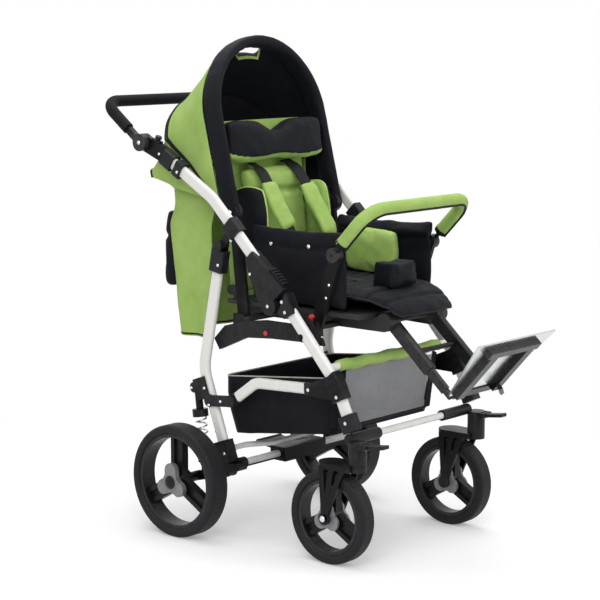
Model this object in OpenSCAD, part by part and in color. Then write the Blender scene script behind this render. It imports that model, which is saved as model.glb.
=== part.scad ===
// Special needs buggy: folding chassis with a padded seat unit, hood, legrest and basket.
// X runs across, the front faces -Y, Z is up. Side view places count from the ground under the rear axle.

/* [Wheels] */
// Diameter of the rear wheels
rear_wheel_d = 270; // [250:1:280]
// Width of the rear tyres
rear_tyre_w = 54; // [44:1:56]
// Distance between the middles of the rear wheels
rear_track = 574; // [570:1:620]
// Diameter of the front wheels
front_wheel_d = 217; // [200:1:220]
// Width of the front tyres
front_tyre_w = 44; // [36:1:46]
// Distance from the rear axle to the front axles
wheelbase = 421; // [400:1:440]
// Height of the tyre wall
tyre_h = 22; // [16:1:26]
// Rounding of the tyre's shoulders
tyre_round = 9; // [4:1:10]
// Radial thickness of the rim
rim_t = 8; // [5:1:12]
// Radius of the wheel hub
hub_r = 24; // [18:1:30]
// Width of one spoke rib
spoke_t = 11; // [6:1:14]
// Gap between the two ribs of a spoke
spoke_gap = 16; // [6:1:18]
// Depth of the spokes along the axle
spoke_w = 20; // [12:1:26]
// Radius of the rear axles
rear_axle_r = 7; // [5:0.5:8]
// Radius of the front axles
front_axle_r = 6; // [4:0.5:7]
// Thickness of the hub caps
cap_t = 12; // [6:1:14]
// Thickness of the front hub caps
front_cap_t = 6; // [4:1:8]
// Reach of a front hub cap's lobes from the axle
front_cap_reach = 37; // [32:1:44]
// Reach of a hub cap's lobes from the axle
cap_reach = 46; // [40:1:56]
// Width of a hub cap's lobes
cap_w = 36; // [28:1:40]

/* [Frame tubes] */
// Distance from the middle plane to the frame tubes
frame_x = 225; // [215:1:235]
// Depth of the oval frame tubes
tube_d = 30; // [24:1:34]
// Width of the oval frame tubes
tube_w = 17; // [12:1:20]
// Centre radius of the tube bends
tube_bend = 90; // [60:1:110]
// Thickness of the black castings
casting_t = 28; // [24:1:30]
// Wall that a sleeve adds round a tube
sleeve_wall = 5; // [3:0.5:7]
// Height of the fold pivot
fold_z = 571; // [560:1:580]
// Fold pivot ahead of the rear axle
fold_fwd = 240; // [230:1:250]
// Length of the fold casting
fold_l = 178; // [170:1:186]
// Width of the fold casting
fold_w = 66; // [60:1:72]
// Radius of the fold knuckles
fold_r = 21; // [17:1:23]
// Radius of the pivot pins
pin_r = 4; // [3:0.5:5]
// Height of the bend of the upper tubes
upper_bend_z = 806; // [800:1:812]
// Bend of the upper tubes ahead of the rear axle
upper_bend_fwd = 55; // [50:1:60]
// Height of the upper tubes at the handle knuckle
knuckle_tube_z = 894; // [888:1:900]
// Upper tubes' end behind the rear axle
knuckle_tube_back = 95; // [90:1:100]
// Height of the front legs' bend
leg_bend_z = 414; // [408:1:420]
// Front legs' bend ahead of the rear axle
leg_bend_fwd = 432; // [426:1:438]
// Height of the front legs' foot
leg_foot_z = 316; // [312:1:320]
// Front legs' foot ahead of the rear axle
leg_foot_fwd = 478; // [474:1:482]
// Height of the rear legs' hinge
hinge_z = 698; // [692:1:704]
// Rear legs' hinge ahead of the rear axle
hinge_fwd = 83; // [80:1:86]
// Height of the rear legs' bend
rear_bend_z = 400; // [394:1:406]
// Rear legs' bend ahead of the rear axle
rear_bend_fwd = 24; // [20:1:28]
// Height of the rear legs' foot
rear_foot_z = 195; // [190:1:200]
// Rear legs' foot ahead of the rear axle
rear_foot_fwd = 98; // [94:1:102]

/* [Side links] */
// Depth of the oval link tubes
link_d = 26; // [20:1:28]
// Width of the oval link tubes
link_w = 15; // [10:1:16]
// Height of the front link pivot
link_front_z = 393; // [390:1:398]
// Front link pivot ahead of the rear axle
link_front_fwd = 362; // [356:1:368]
// Height of the links' bend
link_bend_z = 385; // [380:1:390]
// Links' bend ahead of the rear axle
link_bend_fwd = 190; // [184:1:196]
// Height of the rear link pivot
link_rear_z = 333; // [328:1:338]
// Rear link pivot ahead of the rear axle
link_rear_fwd = 117; // [113:1:121]
// Radius of the link eyes
link_eye_r = 14; // [11:1:16]

/* [Casters] */
// Caster pivot ahead of the rear axle
caster_fwd = 494; // [490:1:500]
// Radius of the caster head
caster_head_r = 21; // [17:1:24]
// Height of the caster head
caster_head_h = 52; // [46:1:58]
// Radius of the caster stem
caster_stem_r = 9; // [7:0.5:11]
// Thickness of the fork's crown
fork_crown_t = 14; // [10:1:18]
// Thickness of the fork's arms
fork_arm_t = 6; // [5:0.5:7]
// Gap between the wheel and its fork
fork_gap = 3; // [2:0.5:4]
// Length of the swivel lock tabs
lock_l = 52; // [40:1:60]
// Thickness of the swivel lock tabs
lock_t = 7; // [5:1:10]

/* [Cross tubes] */
// Radius of the front cross tube
cross_r = 8; // [6:0.5:10]
// Height of the front cross tube
cross_z = 291; // [288:1:296]
// Front cross tube ahead of the rear axle
cross_fwd = 468; // [464:1:472]
// Half length of the bare stretch of the front cross tube
cross_bare = 120; // [100:1:140]
// Radius of the upper cross tube
upper_cross_r = 9; // [7:0.5:10]
// Height of the upper cross tube
upper_cross_z = 445; // [440:1:450]
// Radius of the fabric sleeve on the upper cross tube
wrap_r = 14; // [12:0.5:17]
// Half length of the fabric sleeve
wrap_half = 186; // [160:1:200]

/* [Rear axle] */
// Radius of the rear cross tube
rear_cross_r = 9; // [7:0.5:11]
// Height of the rear cross tube
rear_cross_z = 181; // [178:1:184]
// Rear cross tube ahead of the rear axle
rear_cross_fwd = 124; // [120:1:126]
// Radius of the bowed brace tube
brace_r = 7; // [5:0.5:8]
// Height of the bowed brace tube
brace_z = 212; // [208:1:216]
// Forward bow of the brace tube at its middle
brace_bow = 34; // [20:1:44]
// Height of the trailing arms' pivot
arm_pivot_z = 162; // [158:1:166]
// Trailing arms' pivot ahead of the rear axle
arm_pivot_fwd = 104; // [100:1:108]
// Depth of the trailing arms
arm_d = 24; // [18:1:28]
// Width of the trailing arms
arm_w = 14; // [10:1:16]
// Height of the top of the springs
spring_top_z = 282; // [276:1:288]
// Height of the foot of the springs
spring_foot_z = 178; // [174:1:182]
// Radius of the springs' coil
spring_r = 13; // [10:0.5:15]
// Radius of the spring wire
wire_r = 2; // [1.5:0.1:2.4]
// Turns of a spring
spring_turns = 6; // [5:1:8]
// Radius of the spring collars
collar_r = 19; // [16:1:21]
// Length of the brake housing across the buggy
brake_w = 150; // [130:1:180]
// Height of the brake housing
brake_h = 34; // [28:1:40]
// Depth of the brake housing
brake_d = 48; // [46:1:52]
// Reach of the brake pedal behind its pivot
pedal_reach = 78; // [60:1:86]
// Thickness of the brake pedal
pedal_t = 9; // [6:1:12]
// Radius of the brake rods
rod_r = 2; // [1.5:0.25:3]

/* [Push handle] */
// Height of the handle's angle pivot
pivot_z = 926; // [920:1:932]
// Handle's angle pivot behind the rear axle
pivot_back = 175; // [170:1:180]
// Radius of the handle's angle pivot
pivot_r = 21; // [17:1:24]
// Slope of the handle above the level
handle_slope = 37; // [30:1:44]
// Reach of the handle from its pivot to the crossbar's middle
handle_reach = 156; // [140:1:170]
// Radius of the foam grip
grip_r = 14; // [12:0.5:16]
// Radius of the handle tube
handle_r = 9; // [7:0.5:10]
// Centre radius of the handle's corners
handle_bend = 45; // [34:1:56]
// Bare stretch of the handle arms beside the pivot
handle_bare = 52; // [44:1:60]
// Radius of the angle buttons
button_r = 8; // [6:0.5:9]
// Travel of the angle buttons
button_travel = 3; // [2:0.5:4]

/* [Seat] */
// Half width of the seat between its side panels
seat_half = 150; // [140:1:156]
// Thickness of the side panels
panel_t = 18; // [14:1:18]
// Height of the side panels
panel_h = 190; // [170:1:205]
// Length of the side panels
panel_l = 300; // [280:1:310]
// Front of the side panels ahead of the rear axle
panel_fwd = 412; // [406:1:418]
// Height of the seat board's top
board_z = 562; // [558:1:566]
// Thickness of the seat board
board_t = 10; // [8:1:14]
// Inner face of the seat side plates
plate_x = 195; // [190:1:197]
// Thickness of the seat side plates
plate_t = 12; // [8:1:13]
// Height of the side plates' arch
plate_top_z = 530; // [526:1:534]
// Depth of the side plates' band
plate_band = 42; // [36:1:48]
// Front of the side plates ahead of the rear axle
plate_fwd = 376; // [372:1:380]
// Rear of the side plates ahead of the rear axle
plate_back_fwd = 40; // [36:1:44]
// Thickness of the seat pad
pad_t = 48; // [36:1:54]
// Length of the flat part of the seat pad
pad_l = 300; // [290:1:310]
// Length of the drooping front of the seat pad
pad_nose = 117; // [105:1:130]
// Fall of the drooping front of the seat pad
pad_fall = 46; // [38:1:54]
// Half width of the seat pad's front edge
pad_nose_half = 100; // [90:1:120]
// Width of the pommel
pommel_w = 96; // [84:1:104]
// Depth of the pommel
pommel_d = 64; // [54:1:74]
// Height of the pommel
pommel_h = 64; // [54:1:70]
// Length of the hip pads
hip_l = 162; // [140:1:180]
// Height of the hip pads
hip_h = 112; // [96:1:120]
// Thickness of the hip pads
hip_t = 40; // [30:1:44]

/* [Backrest] */
// Height of the recline hinge
recline_z = 580; // [577:1:584]
// Recline hinge ahead of the rear axle
recline_fwd = 38; // [34:1:42]
// Slope of the backrest from upright
back_slope = 6; // [0:1:10]
// Height of the back board
back_h = 400; // [380:1:415]
// Half width of the back board
back_half = 138; // [128:1:140]
// Thickness of the back board
back_t = 14; // [12:1:16]
// Thickness of the back cushion
cushion_t = 44; // [36:1:50]
// Width of the back cushion
cushion_w = 216; // [196:1:230]
// Width of the headrest
head_w = 340; // [300:1:344]
// Height of the headrest's lobes
head_h = 108; // [96:1:120]
// Thickness of the headrest
head_t = 58; // [48:1:66]
// Length of the trunk supports
trunk_l = 100; // [86:1:110]
// Height of the trunk supports
trunk_h = 146; // [130:1:152]
// Thickness of the trunk supports
trunk_t = 30; // [24:1:34]
// Width of the harness straps
strap_w = 34; // [28:1:40]
// Thickness of the harness straps
strap_t = 6; // [4:0.5:8]

/* [Hood] */
// Height of the hood pivot
hood_pivot_z = 770; // [766:1:774]
// Hood pivot ahead of the rear axle
hood_pivot_fwd = 78; // [74:1:82]
// Height of the hood above its pivot
hood_h = 417; // [400:1:430]
// Half width of the hood bow
hood_half = 186; // [183:1:188]
// Backward slope of the hood bow
hood_slope = 14; // [10:1:18]
// Depth of the padded rim
rim_band = 50; // [40:1:58]
// Thickness of the padded rim
rim_pad = 14; // [10:1:14]
// Depth of the hood behind the rim
hood_depth = 160; // [150:1:175]
// Thickness of the hood and cover fabric
cloth_t = 4; // [3:0.5:5]
// Back of the back cover behind the rear axle
cover_back = 172; // [164:1:178]
// Height of the back cover's bottom edge
cover_low_z = 462; // [456:1:470]
// Depth of the rear pocket
pocket_d = 58; // [48:1:66]
// Width of the rear pocket
pocket_w = 250; // [220:1:270]
// Height of the rear pocket
pocket_h = 204; // [180:1:220]

/* [Bumper bar] */
// Height of the bumper bar's joints
bumper_z = 695; // [690:1:700]
// Bumper bar's joints ahead of the rear axle
bumper_fwd = 388; // [384:1:392]
// Slope of the bumper bar above the level
bumper_slope = 46; // [38:1:54]
// Reach of the bumper bar from its joints
bumper_reach = 150; // [136:1:164]
// Radius of the bumper bar's padded cover
bumper_pad_r = 16; // [13:0.5:18]
// Centre radius of the bumper bar's corners
bumper_bend = 48; // [40:1:60]
// Thickness of the arm posts
post_t = 9; // [7:0.5:10]
// Width of the arm posts
post_w = 34; // [28:1:40]

/* [Legrest] */
// Height of the legrest hinge
legrest_z = 541; // [538:1:544]
// Legrest hinge ahead of the rear axle
legrest_fwd = 471; // [466:1:476]
// Slope of the legrest below the level
legrest_slope = 42; // [34:1:50]
// Distance from the middle plane to the legrest tubes
legrest_x = 78; // [70:1:86]
// Depth of the legrest tubes
legrest_d = 28; // [24:1:32]
// Width of the legrest tubes
legrest_w = 18; // [14:1:20]
// Length of the outer legrest tubes
legrest_l = 150; // [140:1:160]
// Reach of the footplate hinge from the legrest hinge
foot_reach = 226; // [216:1:236]
// Wall of the outer legrest tubes
legrest_wall = 3; // [2:0.5:4]
// Radius of the legrest hinge discs
legrest_disc_r = 21; // [17:1:24]
// Length of the footplate from heel to toe
foot_l = 184; // [170:1:196]
// Thickness of the footplate
foot_t = 4; // [3:0.5:6]
// Width of the footplate at the heel
foot_heel_w = 190; // [180:1:210]
// Width of the footplate at the toes
foot_toe_w = 298; // [280:1:310]
// Width of the footplate's rails
foot_rail_w = 26; // [20:1:32]
// Height of the footplate's rails
foot_rail_h = 14; // [10:1:18]

/* [Basket] */
// Half width of the basket's top
basket_half = 196; // [186:1:200]
// Depth of the basket
basket_h = 140; // [124:1:148]
// Height of the basket's rear top edge
basket_rear_z = 380; // [374:1:384]
// Height of the basket's front top edge
basket_front_z = 416; // [410:1:420]
// Basket's rear ahead of the rear axle
basket_rear_fwd = 56; // [52:1:60]
// Basket's front ahead of the rear axle
basket_front_fwd = 402; // [394:1:408]
// Gaps across the mesh panel
mesh_columns = 22; // [14:1:24]
// Gaps up the mesh panel
mesh_rows = 10; // [6:1:12]
// Width of the mesh panel's strands
mesh_strand = 3; // [2:0.5:4]

/* [Hidden] */

$fn = 48;
// Radial clearance of a running fit
run_gap = 0.05;
// Clearance between pieces that move past each other
gap = 0.6;
// Clearance between soft pieces and what holds them
soft_gap = 0.3;
// Overrun of a cut past a face
cut = 2;
// Sides of a faceted tube and steps of a coil's turn
coil_sides = 6;
coil_steps = 8;

// Side view places as [behind the rear axle, up]
fold_p = [-fold_fwd, fold_z];
hinge_p = [-hinge_fwd, hinge_z];
upper_bend_p = [-upper_bend_fwd, upper_bend_z];
upper_end_p = [knuckle_tube_back, knuckle_tube_z];
pivot_p = [pivot_back, pivot_z];
leg_bend_p = [-leg_bend_fwd, leg_bend_z];
leg_foot_p = [-leg_foot_fwd, leg_foot_z];
rear_bend_p = [-rear_bend_fwd, rear_bend_z];
rear_foot_p = [-rear_foot_fwd, rear_foot_z];
link_front_p = [-link_front_fwd, link_front_z];
link_bend_p = [-link_bend_fwd, link_bend_z];
link_rear_p = [-link_rear_fwd, link_rear_z];
arm_pivot_p = [-arm_pivot_fwd, arm_pivot_z];
axle_p = [0, rear_wheel_d/2];
recline_p = [-recline_fwd, recline_z];
hood_p = [-hood_pivot_fwd, hood_pivot_z];
bumper_p = [-bumper_fwd, bumper_z];
legrest_p = [-legrest_fwd, legrest_z];

// Layers across a frame side
in_x = frame_x - casting_t/2;
out_x = frame_x + casting_t/2;
tube_in_x = frame_x - tube_w/2;
tube_out_x = frame_x + tube_w/2;
rear_x = rear_track/2;

// Fold casting: its pivot lies at these shares of its length and width
fold_pivot_share = 0.69;
fold_drop_share = 0.5;
fold_dir = unit(leg_bend_p - upper_bend_p);
fold_top_p = fold_p - fold_dir*fold_l*fold_pivot_share + beside(fold_dir)*fold_w*fold_drop_share;
leg_top_p = fold_at([0.86, 0.06]);
upper_low_p = fold_at([0.3, 0.04]);
upper_dir = unit(upper_low_p - upper_bend_p);
hinge_along = (hinge_p - upper_bend_p)*upper_dir;
hinge_foot_p = upper_bend_p + upper_dir*hinge_along;
rear_dir = unit(rear_bend_p - hinge_p);
shoe_dir = unit(rear_foot_p - rear_bend_p);
leg_dir = unit(leg_bend_p - leg_top_p);
foot_dir = unit(leg_foot_p - leg_bend_p);
knuckle_dir = unit(pivot_p - upper_end_p);
handle_dir = [cos(handle_slope), sin(handle_slope)];
handle_x = frame_x + gap/2 + (casting_t/2 - gap/2)/2;
legrest_dir = [-cos(legrest_slope), -sin(legrest_slope)];
plate_dir = [-sin(legrest_slope), cos(legrest_slope)];
heel_p = legrest_p + legrest_dir*foot_reach;
toe_p = heel_p + plate_dir*foot_l;
shock_dir = unit([-spring_r, -(spring_top_z - spring_foot_z)]);
shock_foot_p = [-arm_d, spring_foot_z];
shock_top_p = shock_foot_p - shock_dir*(spring_top_z - spring_foot_z);

// The middle of the buggy's length lies on the origin
rear_reach = (pivot_p + handle_dir*handle_reach)[0] + grip_r;
front_reach = (toe_p + legrest_dir*foot_t)[0];
mid_y = (rear_reach + front_reach)/2;

function unit(v) = v/norm(v);
function beside(v) = [v[1], -v[0]];
function heading(v) = atan2(v[1], v[0]);
function turn(a, b) = atan2(a[0]*b[1] - a[1]*b[0], a*b);
function mix(a, b, t) = a + (b - a)*t;
function fold_at(s) = fold_top_p + fold_dir*fold_l*s[0] + beside(fold_dir)*fold_w*s[1];
function bulge(t, power) = sqrt(max(0, 1 - pow(abs(t), power)));

// Shapes that repeat

module pair() {
    children();
    mirror([1, 0, 0]) children();
}

module on_side(s) {
    mirror([s < 0 ? 1 : 0, 0, 0]) children();
}

// Stands a side view drawing up at a distance from the middle plane
module side(x) {
    translate([x, 0, 0]) rotate([90, 0, 90]) children();
}

module plate(x0, x1) {
    side(x0) linear_extrude(x1 - x0) children();
}

module bar_x(p, r, x0, x1) {
    translate([x0, p[0], p[1]]) rotate([0, 90, 0]) cylinder(r = r, h = x1 - x0);
}

module oval(d, w) {
    square([d - w, w], center = true);
    for (i = [-1, 1]) translate([i*(d - w)/2, 0]) circle(d = w);
}

module rounded(a, b, r) {
    square([a - 2*r, b], center = true);
    square([a, b - 2*r], center = true);
    for (i = [-1, 1], j = [-1, 1]) translate([i*(a/2 - r), j*(b/2 - r)]) circle(r);
}

module disc_at(p, r) {
    translate(p) circle(r);
}

// A bar between two places in a drawing, a little narrower than the discs at its ends
strip_share = 0.95;
module strip(a, b, w) {
    translate(a) rotate(heading(b - a)) translate([0, -w*strip_share/2]) square([norm(b - a), w*strip_share]);
}

// A section that follows a flat path with round bends; a bend swells a little over the straights it takes in
bend_lap = 1;
bend_swell_share = 0.012;
module run(path, bend) {
    last = len(path) - 1;
    dirs = [for (i = [0:last - 1]) unit(path[i + 1] - path[i])];
    turns = [for (i = [0:last]) i == 0 || i == last ? 0 : turn(dirs[i - 1], dirs[i])];
    backs = [for (t = turns) t == 0 ? 0 : bend*tan(abs(t)/2) - bend_lap];
    for (i = [0:last - 1]) {
        from = path[i] + dirs[i]*backs[i];
        reach = norm(path[i + 1] - path[i]) - backs[i] - backs[i + 1];
        translate(from) rotate(heading(dirs[i])) rotate([90, 0, 90]) linear_extrude(reach) children();
    }
    for (i = [1:1:last - 1]) {
        start = path[i] - dirs[i - 1]*(backs[i] + bend_lap);
        middle = start - beside(dirs[i - 1])*bend*sign(turns[i]);
        open = heading(start - middle) + min(0, turns[i]);
        translate(middle) rotate(open) rotate_extrude(angle = abs(turns[i])) translate([bend, 0])
            scale(1 + bend_swell_share) children();
    }
}

// A closed skin between two grids of points
function grid_id(i, j, n) = i*n + j;
function solid_sum(p, faces) = [for (f = faces) p[f[0]]*cross(p[f[1]], p[f[2]])]*[for (f = faces) 1];
module skin(outer, inner) {
    m = len(outer);
    n = len(outer[0]);
    k = m*n;
    points = concat([for (row = outer) each row], [for (row = inner) each row]);
    quads = concat(
        [for (i = [0:m - 2], j = [0:n - 2])
            [grid_id(i, j, n), grid_id(i, j + 1, n), grid_id(i + 1, j + 1, n), grid_id(i + 1, j, n)]],
        [for (i = [0:m - 2], j = [0:n - 2])
            [k + grid_id(i, j, n), k + grid_id(i + 1, j, n), k + grid_id(i + 1, j + 1, n),
                k + grid_id(i, j + 1, n)]],
        [for (i = [0:m - 2], e = [0, n - 1]) e == 0
            ? [grid_id(i, e, n), grid_id(i + 1, e, n), k + grid_id(i + 1, e, n), k + grid_id(i, e, n)]
            : [grid_id(i + 1, e, n), grid_id(i, e, n), k + grid_id(i, e, n), k + grid_id(i + 1, e, n)]],
        [for (j = [0:n - 2], e = [0, m - 1]) e == 0
            ? [grid_id(e, j + 1, n), grid_id(e, j, n), k + grid_id(e, j, n), k + grid_id(e, j + 1, n)]
            : [grid_id(e, j, n), grid_id(e, j + 1, n), k + grid_id(e, j + 1, n), k + grid_id(e, j, n)]]);
    faces = [for (q = quads) each [[q[0], q[1], q[2]], [q[0], q[2], q[3]]]];
    inside_out = solid_sum(points, faces) > 0;
    polyhedron(points, inside_out ? [for (f = faces) [f[2], f[1], f[0]]] : faces);
}

// A cushion lying flat: crowned, drawn in along its sides and sewn across into channels
pad_steps = 14;
pad_edge_share = 0.16;
pad_pinch_share = 0.05;
pad_sew_share = 0.34;
function pad_crown(u, v, channels) =
    bulge(u, 4)*bulge(v, 4)*(1 - (channels > 1 ? pad_sew_share*pow(abs(cos(90*channels*(v + 1))), 6) : 0));
function pad_point(w, l, t, channels, u, v, s) = [
    u*w/2*(1 - pad_pinch_share*(1 - v*v)),
    v*l/2*(1 - pad_pinch_share*(1 - u*u)),
    s*t/2*(pad_edge_share + (1 - pad_edge_share)*pad_crown(u, v, channels))];
function pad_grid(w, l, t, channels, s) = let (rows = channels > 1 ? 2*pad_steps : pad_steps)
    [for (i = [0:pad_steps]) [for (j = [0:rows])
        pad_point(w, l, t, channels, 2*i/pad_steps - 1, 2*j/rows - 1, s)]];
module pad(w, l, t, channels = 1) {
    skin(pad_grid(w, l, t, channels, 1), pad_grid(w, l, t, channels, -1));
}

// A wire coil standing on its foot, drawn as one unbroken tube
function coil_centre(t, h) = [spring_r*cos(360*t), spring_r*sin(360*t),
    wire_r + (h - 2*wire_r)*t/spring_turns];
module coil(h) {
    steps = spring_turns*coil_steps;
    rings = [for (i = [0:steps]) let (t = i/coil_steps, c = coil_centre(t, h)) [for (j = [0:coil_sides - 1])
        c + wire_r*[cos(360*t)*cos(360*j/coil_sides), sin(360*t)*cos(360*j/coil_sides),
            sin(360*j/coil_sides)]]];
    points = [for (ring = rings) each ring];
    walls = [for (i = [0:steps - 1], j = [0:coil_sides - 1]) let (q = (j + 1)%coil_sides)
        each [[i*coil_sides + j, (i + 1)*coil_sides + j, (i + 1)*coil_sides + q],
            [i*coil_sides + j, (i + 1)*coil_sides + q, i*coil_sides + q]]];
    ends = [for (j = [1:coil_sides - 2]) each [[0, j, j + 1],
        [steps*coil_sides, steps*coil_sides + j + 1, steps*coil_sides + j]]];
    faces = concat(walls, ends);
    inside_out = solid_sum(points, faces) > 0;
    echo(coil_gap = coil_centre(1, h)[2] - coil_centre(0, h)[2] - 2*wire_r);
    polyhedron(points, inside_out ? [for (f = faces) [f[2], f[1], f[0]]] : faces);
}

// Wheels

rim_inset_share = 0.12;
web_share = 0.4;
spoke_angles = [90, 210, 330];

module tyre(d, w) {
    rotate([0, 90, 0]) rotate_extrude($fn = 96) translate([d/2 - tyre_h/2, 0]) rounded(tyre_h, w,
        tyre_round);
}

module rim(d, w, hub, axle_r) {
    rim_r = d/2 - tyre_h;
    rim_w = w*(1 - 2*rim_inset_share);
    difference() {
        union() {
            rotate([0, 90, 0]) rotate_extrude($fn = 96) translate([rim_r - rim_t/2, 0]) square([rim_t,
                rim_w], center = true);
            rotate([0, 90, 0]) cylinder(r = hub_r, h = hub, center = true);
            for (a = spoke_angles) rotate([a, 0, 0])
                translate([-spoke_w*web_share/2, hub_r/2, -spoke_gap/2 - spoke_t/2])
                cube([spoke_w*web_share, rim_r - rim_t/2 - hub_r/2, spoke_gap + spoke_t]);
            for (a = spoke_angles, i = [-1, 1]) rotate([a, 0, 0])
                translate([0, hub_r/2, i*(spoke_gap + spoke_t)/2 - spoke_t/2])
                    translate([-spoke_w/2, 0, 0]) cube([spoke_w, rim_r - rim_t/2 - hub_r/2, spoke_t]);
        }
        rotate([0, 90, 0]) cylinder(r = axle_r + run_gap, h = hub + cut, center = true);
    }
}

module cap(x, reach, t) {
    translate([x, 0, 0]) {
        rotate([0, 90, 0]) cylinder(r = hub_r, h = t);
        for (a = spoke_angles) rotate([a, 0, 0]) {
            translate([0, 0, -cap_w/2]) cube([t, reach - cap_w/2, cap_w]);
            translate([0, reach - cap_w/2, 0]) rotate([0, 90, 0]) cylinder(d = cap_w, h = t);
        }
    }
}

module rear_place(s) {
    on_side(s) translate([rear_x, axle_p[0], axle_p[1]]) children();
}

module front_place(s) {
    on_side(s) translate([frame_x, -wheelbase, front_wheel_d/2]) children();
}

rear_hub_w = rear_tyre_w - cap_t;
front_hub_w = front_tyre_w - 2*front_cap_t;
module rear_tyre(s) {
    color("dimgray") rear_place(s) tyre(rear_wheel_d, rear_tyre_w);
}
module rear_rim(s) {
    color("black") rear_place(s) rim(rear_wheel_d, rear_tyre_w, rear_hub_w, rear_axle_r);
}
module rear_cap(s) {
    color("gray") rear_place(s) cap(rear_hub_w/2, cap_reach, cap_t);
}
module front_tyre(s) {
    color("dimgray") front_place(s) tyre(front_wheel_d, front_tyre_w);
}
module front_rim(s) {
    color("black") front_place(s) rim(front_wheel_d, front_tyre_w, front_hub_w, front_axle_r);
}
module front_cap(s) {
    color("gray") front_place(s) difference() {
        pair() cap(front_hub_w/2, front_cap_reach, front_cap_t);
        rotate([0, 90, 0]) cylinder(r = front_axle_r + run_gap, h = front_tyre_w + cut, center = true);
    }
}

// Casters

head_low_z = front_wheel_d + 2*fork_gap + fork_crown_t + gap;
head_top_z = head_low_z + caster_head_h;
fork_in = front_tyre_w/2 + fork_gap;
fork_out = fork_in + fork_arm_t;
fork_arm_w = 30;
fork_rib_w = 15;
fork_rib_shares = [-0.12, 0.3, 0.72];
fork_nut_t = 4;
fork_nut_r = 9;

module caster_fork(s) {
    crown_z = head_low_z - gap - fork_crown_t;
    top_z = crown_z + fork_crown_t/2;
    axle = [-wheelbase, front_wheel_d/2];
    color("black") on_side(s) {
        translate([frame_x, -caster_fwd, 0]) translate([0, 0, crown_z]) {
            cylinder(r = caster_head_r, h = fork_crown_t);
            cylinder(r = caster_stem_r, h = fork_crown_t + caster_head_h*stem_share);
        }
        translate([frame_x - fork_out*strip_share, -caster_fwd, crown_z])
            cube([2*fork_out*strip_share, caster_fwd - wheelbase, fork_crown_t]);
        translate([frame_x, -wheelbase, crown_z]) cylinder(r = fork_out, h = fork_crown_t);
        for (i = [-1, 1]) plate(frame_x + i*(fork_in + fork_arm_t/2) - fork_arm_t/2,
            frame_x + i*(fork_in + fork_arm_t/2) + fork_arm_t/2) {
            disc_at(axle, fork_arm_w/2);
            for (t = fork_rib_shares) strip(axle, [-mix(wheelbase, caster_fwd, t), top_z], fork_rib_w);
            strip([-wheelbase + fork_rib_w/2, top_z], [-caster_fwd, top_z], fork_crown_t*strip_share);
        }
        bar_x(axle, front_axle_r, frame_x - fork_out, frame_x + fork_out);
        bar_x(axle, fork_nut_r, frame_x + fork_out,
            frame_x + fork_out + fork_nut_t);
    }
}
stem_share = 0.8;

lock_pivot_p = [-(caster_fwd + caster_head_r + lock_t), head_top_z - lock_t];
module swivel_lock(s) {
    color("black") on_side(s) difference() {
        plate(frame_x - lock_w/2, frame_x + lock_w/2) {
            disc_at(lock_pivot_p, lock_t);
            strip(lock_pivot_p, lock_pivot_p - [lock_l, -lock_t], 2*lock_t*lock_tip_share);
        }
        bar_x(lock_pivot_p, pin_r + run_gap, frame_x - lock_w, frame_x + lock_w);
    }
}
lock_w = 22;
lock_tip_share = 0.6;

// Chassis

module front_leg_path() {
    run([leg_top_p, leg_bend_p, leg_foot_p], tube_bend) children();
}

module front_legs() {
    color("whitesmoke") pair() side(frame_x) front_leg_path() oval(tube_d, tube_w);
}

// The lower half of the fold casting has its knuckle on the inside
fold_low_shares = [[0.75, 0.44], [1.02, 0.23], [0.98, -0.22], [0.85, -0.33]];
fold_inner_shares = [[0.69, -0.80], [0.9, -0.4], [0.98, -0.22], [0.75, 0.44], [0.63, -0.3]];
module fold_housing() {
    difference() {
        union() {
            plate(in_x, out_x) polygon([for (s = fold_low_shares) fold_at(s)]);
            plate(in_x, frame_x - gap/2) {
                polygon([for (s = fold_inner_shares) fold_at(s)]);
                disc_at(fold_p, fold_r);
            }
            bar_x(fold_p, pin_r, frame_x - gap, out_x);
        }
        side(frame_x) front_leg_path() oval(tube_d, tube_w);
    }
}

// The link joint wraps the bend of a front leg and holds the side link in a clevis
joint_up = 22;
joint_down = 40;
module link_joint() {
    difference() {
        union() {
            side(frame_x) run([leg_bend_p - leg_dir*joint_up, leg_bend_p,
                leg_bend_p + foot_dir*joint_down], tube_bend)
                rounded(tube_d + 2*sleeve_wall, casting_t, sleeve_wall);
            for (x = [in_x, out_x - (casting_t - link_w)/2 + gap/2])
                plate(x, x + (casting_t - link_w)/2 - gap/2) {
                    disc_at(link_front_p, link_eye_r);
                    polygon([link_front_p + [0, link_eye_r], link_front_p - [0, link_eye_r],
                        leg_bend_p + foot_dir*joint_down, leg_bend_p - leg_dir*joint_up]);
                }
            bar_x(link_front_p, pin_r, in_x, out_x);
        }
        side(frame_x) front_leg_path() oval(tube_d, tube_w);
    }
}

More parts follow.
